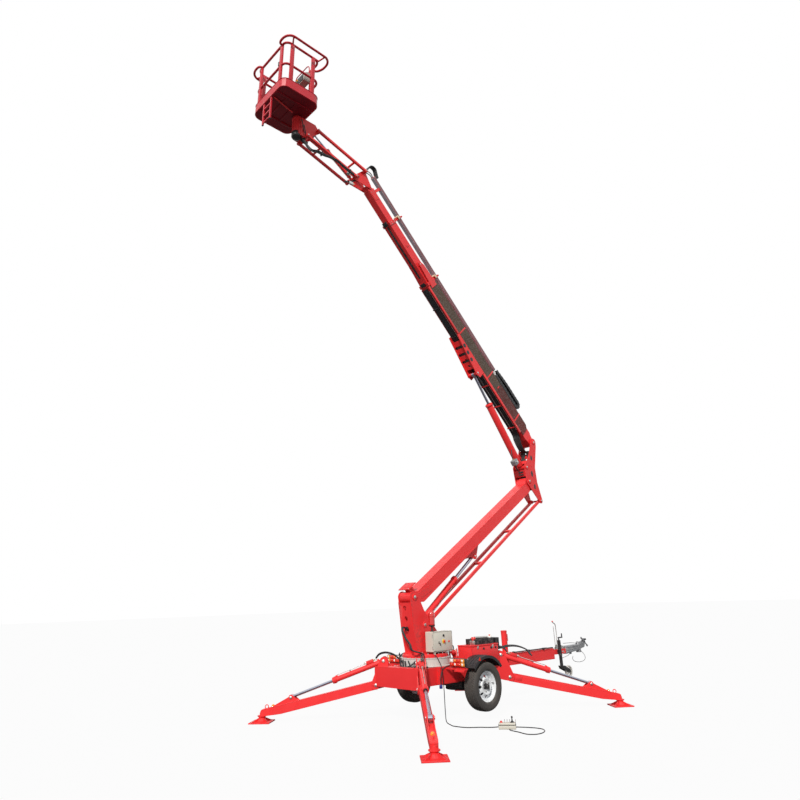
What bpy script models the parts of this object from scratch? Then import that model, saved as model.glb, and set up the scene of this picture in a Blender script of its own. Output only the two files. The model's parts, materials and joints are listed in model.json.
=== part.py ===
# Towable articulated boom lift, standing on its four outriggers with the booms raised.
# Metres, +Z up. X points to the drawbar and Y to the left. The axle lies at X = 0 until
# the whole machine is centred on the floor at the end.

import math

import bmesh
import bpy
from mathutils import Matrix, Vector

for old_object in list(bpy.data.objects):
    bpy.data.objects.remove(old_object, do_unlink=True)

# Gaps between pieces
seat_gap = 0.0003
pin_gap = 0.001
side_gap = 0.005

# Wheels and axle
track_width = 1.51
axle_height = 0.435
tyre_radius = 0.325
tyre_width = 0.225
rim_radius = 0.203
rim_wall = 0.012
hub_radius = 0.055
hub_length = 0.10
stub_radius = 0.022
axle_tube = 0.07
guard_radius = 0.41
guard_wall = 0.012
guard_width = 0.26
wheel_steps = 28
guard_inner_y = 0.62

# Chassis
beam_bottom = 0.46
beam_top = 0.73
beam_depth = 0.13
rear_beam_x = -1.02
front_beam_x = 0.84
deck_rear = -0.60
deck_front = 0.62
deck_bottom = 0.49
deck_top = 0.715
deck_half_width = 0.45
rail_y = 0.33
rail_width = 0.12

# Outriggers, worked in the upright plane of each leg: along it and up from its hinge
hinge_height = 0.475
leg_drop = math.radians(11.5)
leg_length = 1.82
leg_height = 0.12
leg_width = 0.10
leg_pin_radius = 0.02
leg_eye_along = 1.332
leg_eye_rise = 0.123
leg_lug = 0.012
bracket_plate = 0.014
bracket_back = -0.20
cylinder_base_along = -0.12
cylinder_base_rise = 0.32
outrigger_barrel_radius = 0.038
outrigger_barrel_length = 0.83
outrigger_rod_radius = 0.021
outrigger_rod_start = 0.66
outrigger_eye_radius = 0.036
outrigger_eye_width = 0.056
pad_size = 0.32
pad_thickness = 0.014
pad_inset = 0.04

# corner name, hinge X, hinge Y, direction in plan in degrees from +X
outrigger_corners = (
    ("rear_left", -1.03, 0.50, 130.7),
    ("rear_right", -1.03, -0.50, -130.7),
    ("front_left", 0.84, 0.59, 38.1),
    ("front_right", 0.84, -0.59, -38.1),
)

# Slewing gear and mast
slew_x = -0.45
pedestal_radius = 0.385
pedestal_top = 0.835
slew_ring_radius = 0.36
turntable_top = 0.885
mast_half_width = 0.142
mast_plate = 0.015
mast_head_radius = 0.09

# Lower boom, its levelling rods and its cylinder, in the plane of the booms
lower_pin_x = -0.785
lower_pin_z = 1.685
lower_angle = math.radians(32.2)
lower_length = 4.03
lower_half_width = 0.12
lower_top = 0.015
lower_bottom = -0.185
boom_pin_radius = 0.025
boom_pin_head = 0.042
level_offset_x = 0.335
level_offset_z = -0.37
level_rod_size = 0.045
level_rod_y = 0.10
level_eye_radius = 0.038
level_tie_places = (1.70, 2.82)
lift_eye_radius = 0.042
lift_eye_width = 0.07
lift_lug = 0.014
lift_rod_radius = 0.027
lift_barrel_radius = 0.048
lower_eye_along = 1.724
lower_eye_rise = -0.315
lower_root_x = -0.576
lower_root_z = 1.285
lower_barrel_length = 1.13
lower_rod_start = 0.47
upper_barrel_length = 1.52
upper_rod_start = 0.70

# Knuckle, measured from the lower boom's tip pin
upper_pin_x = 0.30
upper_pin_z = 0.855
upper_root_x = -0.045
upper_root_z = 0.285
knuckle_half_width = 0.15
knuckle_plate = 0.015
# X, Z, half width and half height of each opening in the side plates
knuckle_openings = (
    (0.16, 0.50, 0.026, 0.048),
    (0.12, 0.16, 0.026, 0.055),
    (0.17, -0.10, 0.024, 0.045),
)

# Upper boom and its two telescopic sections, measured along it from its root pin
upper_angle = math.radians(45.2)
base_root = 0.16
base_length = 4.17
base_half_width = 0.11
base_half_height = 0.12
section_wall = 0.012
section_gap = 0.006
pad_gap = 0.0007
upper_eye_along = 2.034
upper_eye_rise = -0.30
upper_web_holes = (0.19, 0.33, 0.47)
mid_head = 5.61
mid_length = 3.5
fly_head = 6.36
fly_length = 3.3
tube_rise = 0.36
tube_size = 0.075
tube_rear = 1.74
tube_front = 6.55

# Jib, levelled by its bracket on the fly section's head
level_pin_along = 6.42
level_pin_rise = -0.02
jib_root_along = 6.7125
jib_root_rise = 0.077
jib_offset_x = -0.24
jib_offset_z = -0.25
jib_angle = math.radians(16.0)
jib_length = 1.204
jib_arm_size = 0.045
jib_arm_y = 0.145
jib_eye_radius = 0.036
jib_plate = 0.014
jib_plate_y = 0.081
jib_pin_radius = 0.018
jib_barrel_radius = 0.034
jib_rod_radius = 0.016
jib_barrel_length = 0.72
jib_rod_start = 0.34
jib_tie_inset = 0.35
swivel_reach = 0.3926
swivel_rise = 0.1934
swivel_radius = 0.09
spindle_radius = 0.03

# Platform
platform_reach = 0.255
platform_depth = 0.80
platform_width = 1.05
platform_height = 1.10
platform_corner = 0.14
platform_wall = 0.006
toe_board = 0.19
top_rail = 0.017
post_radius = 0.021

# Pendant control on the floor, with its cable
pendant_cable_radius = 0.006
pendant_cable_top = 0.876
pendant_cable_path = (
    (-0.60, -0.60), (-0.655, -0.71), (-0.65, -0.83), (-0.625, -0.93), (-0.56, -1.01), (-0.49, -1.08),
    (-0.44, -1.16), (-0.38, -1.22), (-0.30, -1.27), (-0.245, -1.35), (-0.19, -1.44), (-0.14, -1.53),
    (-0.10, -1.62), (-0.075, -1.72), (-0.085, -1.82), (-0.16, -1.91), (-0.29, -1.965), (-0.41, -1.955),
    (-0.475, -1.88), (-0.47, -1.79), (-0.44, -1.70), (-0.425, -1.61), (-0.408, -1.535),
    (-0.3841, -1.4983), (-0.3602, -1.4803),
)

# Towing gear
drawbar_end = 2.90
drawbar_low = 0.555
drawbar_high = 0.735
coupling_tip = 4.19
jockey_radius = 0.10
jockey_x = 3.31
jockey_z = 0.32
rest_x = 1.54


def finish_of(name, colour, roughness, metallic=0.0):
    """One plain Principled material."""
    made = bpy.data.materials.new(name)
    made.use_nodes = True
    shader = made.node_tree.nodes["Principled BSDF"]
    shader.inputs["Base Color"].default_value = (*colour, 1.0)
    shader.inputs["Roughness"].default_value = roughness
    shader.inputs["Metallic"].default_value = metallic
    return made


red_paint = (0.72, 0.045, 0.04)
black_plastic = (0.02, 0.02, 0.022)
pale_grey = (0.62, 0.62, 0.60)
steel_grey = (0.45, 0.46, 0.48)


def frame_at(name, place, heading=0.0, elevation=0.0, parent=None):
    """An empty whose own X axis points along heading and elevation."""
    made = bpy.data.objects.new(name, None)
    bpy.context.collection.objects.link(made)
    world = Matrix.Translation(place) @ Matrix.Rotation(heading, 4, "Z")
    world = world @ Matrix.Rotation(-elevation, 4, "Y")
    made.parent = parent
    made.matrix_world = world
    if parent:
        bpy.context.view_layer.update()
        made.matrix_parent_inverse = parent.matrix_world.inverted()
        made.matrix_basis = world
    bpy.context.view_layer.update()
    return made


def mesh_from(fill):
    """A mesh from a function that fills a bmesh, with its faces turned outward."""
    work = bmesh.new()
    fill(work)
    bmesh.ops.remove_doubles(work, verts=work.verts, dist=0.00001)
    bmesh.ops.recalc_face_normals(work, faces=work.faces)
    made = bpy.data.meshes.new("shape")
    work.to_mesh(made)
    work.free()
    return made


def block(x_range, y_range, z_range):
    """A box between two limits on each axis."""
    def fill(work):
        bmesh.ops.create_cube(work, size=1.0)
        for corner in work.verts:
            corner.co.x = x_range[0] if corner.co.x < 0 else x_range[1]
            corner.co.y = y_range[0] if corner.co.y < 0 else y_range[1]
            corner.co.z = z_range[0] if corner.co.z < 0 else z_range[1]
    return mesh_from(fill)


def plate(outline, side, other_side):
    """An outline in X and Z, given a thickness along Y."""
    def fill(work):
        near = [work.verts.new((x, side, z)) for x, z in outline]
        face = work.faces.new(near)
        moved = bmesh.ops.extrude_face_region(work, geom=[face])["geom"]
        corners = [item for item in moved if isinstance(item, bmesh.types.BMVert)]
        bmesh.ops.translate(work, verts=corners, vec=(0, other_side - side, 0))
    return mesh_from(fill)


def flat_plate(outline, bottom, top):
    """An outline in X and Y, given a thickness along Z."""
    def fill(work):
        low = [work.verts.new((x, y, bottom)) for x, y in outline]
        face = work.faces.new(low)
        moved = bmesh.ops.extrude_face_region(work, geom=[face])["geom"]
        corners = [item for item in moved if isinstance(item, bmesh.types.BMVert)]
        bmesh.ops.translate(work, verts=corners, vec=(0, 0, top - bottom))
    return mesh_from(fill)


def bar(start, end, radius, sides=14, end_radius=None):
    """A round bar between two points."""
    start = Vector(start)
    end = Vector(end)
    turn = (end - start).to_track_quat("Z", "Y").to_matrix().to_4x4()
    place = Matrix.Translation((start + end) / 2) @ turn

    def fill(work):
        bmesh.ops.create_cone(
            work, cap_ends=True, segments=sides, radius1=radius,
            radius2=radius if end_radius is None else end_radius,
            depth=(end - start).length, matrix=place)
    return mesh_from(fill)


def cross_bar(x, z, radius, side, other_side, sides=12):
    """A round bar along Y."""
    return bar((x, side, z), (x, other_side, z), radius, sides)


def turned(profile, place=(0, 0, 0), steps=32, axis="Z"):
    """A closed profile of radius and height, spun about an axis through a place."""
    def fill(work):
        ring = [work.verts.new((radius, 0, height)) for radius, height in profile]
        edges = [work.edges.new((ring[i - 1], ring[i])) for i in range(len(ring))]
        bmesh.ops.spin(
            work, geom=ring + edges, cent=(0, 0, 0), axis=(0, 0, 1),
            angle=math.tau, steps=steps, use_merge=True, use_duplicate=False)
        bmesh.ops.remove_doubles(work, verts=work.verts, dist=0.00001)
        flat = [f for f in work.faces if f.calc_area() < 1e-10]
        bmesh.ops.delete(work, geom=flat, context="FACES")
        loose = [edge for edge in work.edges if not edge.link_faces]
        bmesh.ops.delete(work, geom=loose, context="EDGES")
        if axis == "Y":
            bmesh.ops.rotate(work, verts=work.verts, cent=(0, 0, 0),
                             matrix=Matrix.Rotation(math.radians(-90), 3, "X"))
        bmesh.ops.translate(work, verts=work.verts, vec=place)
    return mesh_from(fill)


def pipe(points, radius, closed=False, sides_level=2):
    """A round pipe along points."""
    curve = bpy.data.curves.new("pipe", "CURVE")
    curve.dimensions = "3D"
    curve.bevel_depth = radius
    curve.bevel_resolution = sides_level
    curve.use_fill_caps = not closed
    line = curve.splines.new("POLY")
    line.points.add(len(points) - 1)
    for knot, point in zip(line.points, points):
        knot.co = (*point, 1.0)
    line.use_cyclic_u = closed
    holder = bpy.data.objects.new("pipe", curve)
    bpy.context.collection.objects.link(holder)
    bpy.context.view_layer.update()
    depsgraph = bpy.context.evaluated_depsgraph_get()
    made = bpy.data.meshes.new_from_object(holder.evaluated_get(depsgraph))
    bpy.data.objects.remove(holder)

    def fill(work):
        work.from_mesh(made)
    return mesh_from(fill)


def arc(centre, radius, start, end, steps=8):
    """Points on an arc, with angles in degrees."""
    made = []
    for step in range(steps + 1):
        angle = math.radians(start + (end - start) * step / steps)
        made.append((centre[0] + radius * math.cos(angle), centre[1] + radius * math.sin(angle)))
    return made


def rounded_rectangle(x_range, y_range, radius, steps=6):
    """The outline of a rectangle with round corners."""
    low_x, high_x = x_range[0] + radius, x_range[1] - radius
    low_y, high_y = y_range[0] + radius, y_range[1] - radius
    outline = arc((high_x, high_y), radius, 0, 90, steps)
    outline += arc((low_x, high_y), radius, 90, 180, steps)
    outline += arc((low_x, low_y), radius, 180, 270, steps)
    outline += arc((high_x, low_y), radius, 270, 360, steps)
    return outline


def with_others(first, others, operation):
    """The first mesh, joined with the others or cut by them."""
    holder = bpy.data.objects.new("holder", first)
    bpy.context.collection.objects.link(holder)
    helpers = []
    for other in others:
        helper = bpy.data.objects.new("helper", other)
        bpy.context.collection.objects.link(helper)
        helpers.append(helper)
        change = holder.modifiers.new("change", "BOOLEAN")
        change.operation = operation
        change.solver = "EXACT"
        change.object = helper
    bpy.context.view_layer.update()
    depsgraph = bpy.context.evaluated_depsgraph_get()
    made = bpy.data.meshes.new_from_object(holder.evaluated_get(depsgraph))
    bpy.data.objects.remove(holder)
    for helper in helpers:
        bpy.data.objects.remove(helper)
    return made


def joined(*meshes):
    return with_others(meshes[0], meshes[1:], "UNION")


def cut(mesh, *cutters):
    return with_others(mesh, cutters, "DIFFERENCE")


def node(name, mesh, finish, parent=None):
    """A named piece whose mesh is given in its parent's own axes."""
    made = bpy.data.objects.new(name, mesh)
    bpy.context.collection.objects.link(made)
    made.parent = parent
    mesh.materials.clear()
    mesh.materials.append(finish_of(name + "_finish", *finish))
    mesh.shade_smooth()
    mesh.set_sharp_from_angle(angle=math.radians(30))
    return made


red = (red_paint, 0.35)
black = (black_plastic, 0.6)
grey = (pale_grey, 0.4)
steel = (steel_grey, 0.35, 1.0)
chrome = ((0.8, 0.8, 0.82), 0.12, 1.0)
rubber = ((0.03, 0.03, 0.03), 0.85)


def make_corner_bracket(hinge_x, hinge_y, heading):
    """Two upright plates, a root block between them and the pins of leg and cylinder."""
    inner = leg_width / 2 + side_gap
    outer = inner + bracket_plate
    low = beam_bottom - hinge_height
    high = beam_top - hinge_height
    base = (cylinder_base_along, cylinder_base_rise)
    outline = [(bracket_back, low)] + arc((0, 0), 0.075, -60, 20, 4)
    outline += arc(base, 0.06, 20, 160, 5) + [(bracket_back, high)]
    shapes = []
    for side in (-1, 1):
        shapes.append(plate(outline, side * inner, side * outer))
    shapes.append(block((bracket_back - 0.1, -0.10), (-outer + 0.001, outer - 0.001),
                        (low + 0.004, deck_top - hinge_height - 0.004)))
    shapes.append(cross_bar(0, 0, leg_pin_radius, -outer - 0.012, outer + 0.012, 8))
    shapes.append(cross_bar(*base, leg_pin_radius, -outer - 0.012, outer + 0.012, 8))
    place = Matrix.Translation((hinge_x, hinge_y, hinge_height))
    place = place @ Matrix.Rotation(heading, 4, "Z")
    for shape in shapes:
        shape.transform(place)
    return shapes


def make_chassis():
    beam_half = beam_depth / 2
    shapes = [block((deck_rear, deck_front), (-deck_half_width, deck_half_width),
                    (deck_bottom, deck_top))]
    for side in (-1, 1):
        shapes.append(block((rear_beam_x, front_beam_x),
                            (side * rail_y - rail_width / 2, side * rail_y + rail_width / 2),
                            (beam_bottom + 0.02, beam_top - 0.02)))
        shapes.append(block((-0.47, -0.43), (0.40 * side, 0.82 * side), (0.68, 0.70)))
        for place in (-0.28, 0.28):
            shapes.append(block((place - 0.02, place + 0.02),
                                (0.40 * side, (guard_inner_y - seat_gap) * side), (0.68, 0.70)))
    shapes.append(block((rear_beam_x - beam_half, rear_beam_x + beam_half), (-0.50, 0.50),
                        (beam_bottom, beam_top)))
    shapes.append(block((front_beam_x - beam_half, front_beam_x + beam_half), (-0.56, 0.56),
                        (beam_bottom, beam_top)))
    slots = []
    for name, hinge_x, hinge_y, direction in outrigger_corners:
        wide = leg_width / 2 + side_gap
        slot = block((-leg_height / 2 - 0.01, 0.5), (-wide, wide), (-0.1, 0.6))
        place = Matrix.Translation((hinge_x, hinge_y, hinge_height))
        slot.transform(place @ Matrix.Rotation(math.radians(direction), 4, "Z"))
        slots.append(slot)
    body = cut(joined(*shapes), *slots)
    brackets = []
    for name, hinge_x, hinge_y, direction in outrigger_corners:
        brackets += make_corner_bracket(hinge_x, hinge_y, math.radians(direction))
    node("chassis_frame", joined(body, *brackets), red)


def make_axle():
    half = axle_tube / 2
    inner = track_width / 2 - hub_length / 2 - side_gap
    shapes = [block((-half, half), (-inner, inner), (axle_height - half, axle_height + half))]
    for side in (-1, 1):
        shapes.append(block((-0.06, 0.06), (side * 0.30, side * 0.38),
                            (axle_height - half - 0.01, beam_bottom + 0.02 - seat_gap)))
        shapes.append(bar((0, side * (inner - 0.01), axle_height),
                          (0, side * (track_width / 2 + 0.02), axle_height), stub_radius))
    node("axle", joined(*shapes), ((0.08, 0.08, 0.085), 0.5))


def make_wheel(name, side):
    """Tyre and pressed rim, turning on the axle's stub."""
    hub = frame_at(name + "_hub", (0, side * track_width / 2, axle_height))
    half = tyre_width / 2
    bead = rim_radius + seat_gap
    tread = tyre_radius
    tyre = [(bead, -half * 0.72), (0.245, -half), (0.29, -half), (tread - 0.008, -half * 0.8),
            (tread, -half * 0.55), (tread, half * 0.55), (tread - 0.008, half * 0.8),
            (0.29, half), (0.245, half), (bead, half * 0.72)]
    node("tyre_" + name, turned(tyre, steps=wheel_steps, axis="Y"), rubber, hub)
    well = rim_radius
    profile = [(well, -half * 0.72), (well, half * 0.72), (well - rim_wall, half * 0.72),
               (well - rim_wall - 0.012, half * 0.42), (0.15, half * 0.36), (0.09, half * 0.62),
               (hub_radius, half * 0.62), (hub_radius, half * 0.9), (0, half * 0.9),
               (0, -0.045), (hub_radius, -0.045), (hub_radius, half * 0.30),
               (0.09, half * 0.36), (0.15, half * 0.14), (well - rim_wall - 0.02, half * 0.20),
               (well - rim_wall, -half * 0.30), (well - rim_wall, -half * 0.72)]
    if side < 0:
        profile = [(radius, -height) for radius, height in reversed(profile)]
    rim = turned(profile, steps=wheel_steps, axis="Y")
    holes = [cross_bar(0, 0, stub_radius + pin_gap, -side * 0.08, side * 0.032)]
    for turn in range(5):
        angle = math.tau * turn / 5
        holes.append(cross_bar(0.121 * math.cos(angle), 0.121 * math.sin(angle), 0.022,
                               -0.09, 0.09, 8))
    node("rim_" + name, cut(rim, *holes), ((0.85, 0.85, 0.84), 0.35), hub)


def make_guard(name, side):
    """A mudguard arch with a lug on its stay."""
    centre = (0, axle_height)
    outline = arc(centre, guard_radius, 140, 38, 14)
    outline += arc(centre, guard_radius - guard_wall, 38, 140, 14)
    near = side * guard_inner_y
    far = side * (guard_inner_y + guard_width)
    lip = arc(centre, guard_radius + 0.002, 140.5, 37.5, 14)
    lip += arc(centre, guard_radius - 0.035, 37.5, 140.5, 14)
    shapes = [plate(outline, near + side * 0.002, far),
              plate(lip, far - side * 0.010, far + side * 0.002)]
    for place in (-0.28, 0.28):
        shapes.append(block((place - 0.02, place + 0.02), (near, near + side * 0.03), (0.67, 0.728)))
    node("mudguard_" + name, joined(*shapes), black)


def make_lamp(name, side):
    """A rear lamp cluster on its carrier."""
    outline = rounded_rectangle((side * 0.70 - 0.11, side * 0.70 + 0.11), (0.7203, 0.835), 0.012, 3)
    lamp = flat_plate(outline, -0.455, -0.49)
    turn = Matrix(((0, 0, 1, 0), (1, 0, 0, 0), (0, 1, 0, 0), (0, 0, 0, 1)))
    lamp.transform(turn)
    foot = block((-0.47, -0.44), (side * 0.70 - 0.08, side * 0.70 + 0.08),
                 (0.70 + seat_gap, 0.76))
    node("lamp_" + name, joined(lamp, foot), ((0.75, 0.12, 0.05), 0.25))


def make_outrigger(name, hinge_x, hinge_y, heading):
    """Leg with its foot, and the cylinder that folds it."""
    hinge = Vector((hinge_x, hinge_y, hinge_height))
    outward = Vector((math.cos(heading), math.sin(heading), 0))
    leg = frame_at("leg_hinge_" + name, hinge, heading, -leg_drop)
    half = leg_height / 2
    wide = leg_width / 2
    lug_inner = outrigger_eye_width / 2 + side_gap
    side_view = arc((0, 0), half, 90, 270, 6)
    side_view += [(leg_length - 0.30, -half), (leg_length, -half + 0.03), (leg_length, half - 0.01),
                  (leg_length - 0.02, half)]
    body = plate(side_view, -wide, wide)
    lug = [(leg_eye_along - 0.12, half - 0.01)] + arc((leg_eye_along, leg_eye_rise), 0.036, 140, 20, 5)
    lug += [(leg_eye_along + 0.36, half - 0.01)]
    shapes = [body]
    for side in (-1, 1):
        shapes.append(plate(lug, side * lug_inner, side * (lug_inner + leg_lug)))
        shapes.append(cross_bar(leg_eye_along, leg_eye_rise, 0.026, side * (lug_inner + leg_lug - 0.002),
                                side * (lug_inner + leg_lug + 0.008)))
    floor = Matrix.Rotation(-leg_drop, 3, "Y")
    sole = -hinge_height
    pad_along = leg_length - pad_inset
    foot = [block((pad_along - pad_size / 2, pad_along + pad_size / 2),
                  (-pad_size / 2, pad_size / 2), (sole, sole + pad_thickness)),
            bar((pad_along, 0, sole + 0.005), (pad_along, 0, sole + 0.06), 0.09, 12, 0.05),
            bar((pad_along, 0, sole + 0.05), (pad_along, 0, -0.34), 0.038, 12)]
    for piece in foot:
        piece.transform(floor.to_4x4())
    solid = joined(*shapes, *foot)
    hole = cross_bar(0, 0, leg_pin_radius + pin_gap, -wide - 0.01, wide + 0.01)
    node("leg_" + name, cut(solid, hole), red, leg)

    base = hinge + outward * cylinder_base_along + Vector((0, 0, cylinder_base_rise))
    eye = leg.matrix_world @ Vector((leg_eye_along, 0, leg_eye_rise))
    make_cylinder("outrigger", name, base, eye, heading, outrigger_barrel_length,
                  outrigger_barrel_radius, outrigger_rod_radius, outrigger_eye_radius,
                  outrigger_eye_width, leg_pin_radius, outrigger_rod_start)


def make_cylinder(kind, name, base, eye, heading, barrel_length, barrel_radius, rod_radius,
                  eye_radius, eye_width, pin_radius, rod_start):
    """A hydraulic cylinder: the barrel turns on its base pin and the rod slides in it."""
    reach = eye - base
    flat = math.hypot(reach.x, reach.y)
    if reach.x * math.cos(heading) + reach.y * math.sin(heading) < 0:
        flat = -flat
    elevation = math.atan2(reach.z, flat)
    label = kind + "_" + name if name else kind
    pivot = frame_at("cylinder_base_" + label, base, heading, elevation)
    length = reach.length
    bore = rod_radius + pin_gap
    half = eye_width / 2
    start = eye_radius + 0.015
    barrel = joined(
        bar((start, 0, 0), (barrel_length, 0, 0), barrel_radius, 16),
        bar((0, 0, 0), (start + 0.01, 0, 0), half * 0.8, 12),
        bar((barrel_length - 0.05, 0, 0), (barrel_length + 0.012, 0, 0), barrel_radius + 0.007, 16),
        cross_bar(0, 0, eye_radius, -half, half, 16))
    barrel = cut(barrel, cross_bar(0, 0, pin_radius + pin_gap, -half - 0.01, half + 0.01),
                 bar((0.12, 0, 0), (barrel_length + 0.03, 0, 0), bore, 14))
    node(label + "_barrel", barrel, red, pivot)
    rod = joined(
        bar((rod_start, 0, 0), (length - eye_radius * 0.6, 0, 0), rod_radius, 14),
        cross_bar(length, 0, eye_radius, -half, half, 16))
    node(label + "_rod", rod, chrome, pivot)


def make_mast_unit():
    """Pedestal, turntable and mast, with the pins that carry the lower boom."""
    pedestal = bar((slew_x, 0, deck_top + seat_gap), (slew_x, 0, pedestal_top), pedestal_radius, 36)
    node("pedestal", pedestal, grey)
    turn = frame_at("slew_axis", (slew_x, 0, 0))
    ring = turned([(0, pedestal_top + seat_gap), (slew_ring_radius, pedestal_top + seat_gap),
                   (slew_ring_radius, turntable_top - 0.018),
                   (slew_ring_radius - 0.02, turntable_top), (0, turntable_top)],
                  steps=36)
    node("turntable", ring, red, turn)

    foot = turntable_top + seat_gap
    head_x = lower_pin_x - slew_x
    head = (head_x, lower_pin_z)
    inner = mast_half_width - mast_plate
    outline = [(0.31, foot), (0.31, foot + 0.06), (0.15, 1.18), (head_x + 0.20, 1.50)]
    outline += arc(head, mast_head_radius, 20, 170, 8)
    outline += [(-0.36, 1.20), (-0.29, foot)]
    shapes = []
    for side in (-1, 1):
        shapes.append(plate(outline, side * inner, side * mast_half_width))
    back = [(head_x - mast_head_radius - 0.004, 1.61), (-0.36, 1.20), (-0.29, foot),
            (-0.27, foot), (-0.34, 1.20), (head_x - mast_head_radius + 0.014, 1.61)]
    shapes.append(plate(back, -inner - 0.001, inner + 0.001))
    shapes.append(block((-0.31, 0.32), (-0.17, 0.17), (foot, foot + 0.016)))
    level_x = lower_pin_x + level_offset_x - slew_x
    level_z = lower_pin_z + level_offset_z
    root = (lower_root_x - slew_x, lower_root_z)
    shapes.append(cross_bar(*head, boom_pin_radius, -mast_half_width - 0.015, mast_half_width + 0.015))
    shapes.append(cross_bar(*root, boom_pin_radius, -inner - 0.005, inner + 0.005))
    for side in (-1, 1):
        shapes.append(cross_bar(*head, boom_pin_head, side * (mast_half_width - 0.002),
                                side * (mast_half_width + 0.016)))
        shapes.append(cross_bar(level_x, level_z, 0.018, side * (inner + 0.005), side * 0.072))
        shapes.append(cross_bar(*root, 0.04, side * (inner + 0.002), side * (lift_eye_width / 2 + side_gap)))
    holes = []
    for height in (1.23, 1.38, 1.53):
        holes.append(bar((-0.6, 0, height), (-0.3, 0, height), 0.035, 12))
    node("mast", cut(joined(*shapes), *holes), red, turn)

    box = rounded_rectangle((-0.18, 0.25), (0.91, 1.19), 0.012, 2)
    gland = bar((-0.135, -0.347, pendant_cable_top), (-0.135, -0.347, 0.92), 0.010, 12)
    holder = block((-0.10, 0.10), (-0.21, -mast_half_width - seat_gap), (0.95, 1.12))
    node("control_box", joined(plate(box, -0.20, -0.36), holder, gland), grey, turn)
    beacon = turned([(0, 1.19 + seat_gap), (0.03, 1.19 + seat_gap), (0.03, 1.25), (0.05, 1.26),
                     (0.05, 1.37), (0.052, 1.38), (0.052, 1.46), (0.035, 1.49), (0, 1.49)],
                    (-0.09, -0.26, 0), 16)
    node("beacon", beacon, ((0.8, 0.05, 0.03), 0.15), turn)


def make_lower_boom():
    pin = Vector((lower_pin_x, 0, lower_pin_z))
    axis = frame_at("lower_boom_axis", pin, 0, lower_angle)
    half = lower_half_width
    side_view = [(-0.07, -0.05)] + arc((0, 0), 0.08, 190, 80, 6)
    side_view += [(0.14, lower_top), (lower_length - 0.14, lower_top)]
    side_view += arc((lower_length, 0), 0.08, 100, -60, 6)
    side_view += [(lower_length - 0.10, lower_bottom), (0.16, lower_bottom)]
    shapes = [plate(side_view, -half, half)]
    inner = lift_eye_width / 2 + side_gap
    eye = (lower_eye_along, lower_eye_rise)
    lug = [(1.36, lower_bottom + 0.01), (1.50, lower_bottom - 0.05), (1.62, lower_bottom - 0.09)]
    lug += arc(eye, 0.055, 215, 350, 8) + [(1.98, lower_bottom + 0.01)]
    for side in (-1, 1):
        shapes.append(plate(lug, side * inner, side * (inner + lift_lug)))
        shapes.append(cross_bar(*eye, 0.036, side * (inner + lift_lug - 0.002),
                                side * (inner + lift_lug + 0.008), 16))
    rest = plate([(-0.02, 0.135), (0.17, 0.135), (0.17, 0.149), (-0.02, 0.149)], -0.12, 0.12)
    post = block((0.04, 0.13), (-0.05, 0.05), (lower_top - 0.02, 0.137))
    solid = joined(*shapes, post, rest)
    holes = []
    for place in (0, lower_length):
        holes.append(cross_bar(place, 0, boom_pin_radius + pin_gap, -half - 0.02, half + 0.02, 16))
    node("lower_boom", cut(solid, *holes), red, axis)

    offset = Vector((level_offset_x, 0, level_offset_z))
    rods = frame_at("level_rod_axis", pin + offset, 0, lower_angle)
    half_rod = level_rod_size / 2
    shapes = []
    for side in (-1, 1):
        middle = side * level_rod_y
        shapes.append(block((0.02, lower_length - 0.02), (middle - half_rod, middle + half_rod),
                            (-half_rod, half_rod)))
        for place in (0, lower_length):
            shapes.append(cross_bar(place, 0, level_eye_radius, middle - half_rod,
                                    middle + half_rod, 16))
    for place in level_tie_places:
        shapes.append(block((place - half_rod, place + half_rod), (-level_rod_y, level_rod_y),
                            (-half_rod * 0.8, half_rod * 0.8)))
    solid = joined(shapes[0], shapes[1], shapes[2], shapes[6], shapes[7], shapes[3], shapes[4], shapes[5])
    holes = []
    for place in (0, lower_length):
        holes.append(cross_bar(place, 0, 0.018 + pin_gap, -0.14, 0.14))
    node("levelling_rods", cut(solid, *holes), red, rods)

    base = Vector((lower_root_x, 0, lower_root_z))
    eye_place = axis.matrix_world @ Vector((lower_eye_along, 0, lower_eye_rise))
    make_cylinder("lower_lift", "", base, eye_place, 0, lower_barrel_length, lift_barrel_radius,
                  lift_rod_radius, lift_eye_radius, lift_eye_width, boom_pin_radius, lower_rod_start)
    return axis.matrix_world @ Vector((lower_length, 0, 0))


def make_knuckle(tip):
    axis = frame_at("knuckle_axis", tip)
    inner = knuckle_half_width - knuckle_plate
    upper_pin = (upper_pin_x, upper_pin_z)
    level_pin = (level_offset_x, level_offset_z)
    root = (upper_root_x, upper_root_z)
    outline = arc(upper_pin, 0.085, -20, 170, 8)
    outline += [(0.12, 0.62), (0.02, 0.44)]
    outline += arc(root, 0.075, 110, 200, 5)
    outline += arc((0, 0), 0.085, 170, 240, 4)
    outline += arc(level_pin, 0.055, 225, 380, 7)
    outline += [(0.27, 0.02), (0.25, 0.30)]
    shapes = []
    for side in (-1, 1):
        shapes.append(plate(outline, side * inner, side * knuckle_half_width))
    web = [(0.10, 0.40), (0.115, 0.39), (0.245, 0.60), (0.23, 0.615)]
    shapes.append(plate(web, -inner - 0.001, inner + 0.001))
    for place, radius in (((0, 0), boom_pin_radius), (upper_pin, boom_pin_radius),
                          (root, boom_pin_radius), (level_pin, 0.018)):
        shapes.append(cross_bar(*place, radius, -knuckle_half_width - 0.012,
                                knuckle_half_width + 0.012))
    for side in (-1, 1):
        shapes.append(cross_bar(*root, 0.04, side * (inner + 0.002),
                                side * (lift_eye_width / 2 + side_gap)))
    openings = []
    for x, z, wide, high in knuckle_openings:
        turns = [math.tau * step / 10 for step in range(10)]
        oval = [(x + wide * math.cos(turn), z + high * math.sin(turn)) for turn in turns]
        openings.append(plate(oval, -knuckle_half_width - 0.05, knuckle_half_width + 0.05))
    node("knuckle", cut(joined(*shapes), *openings), red, axis)


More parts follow.
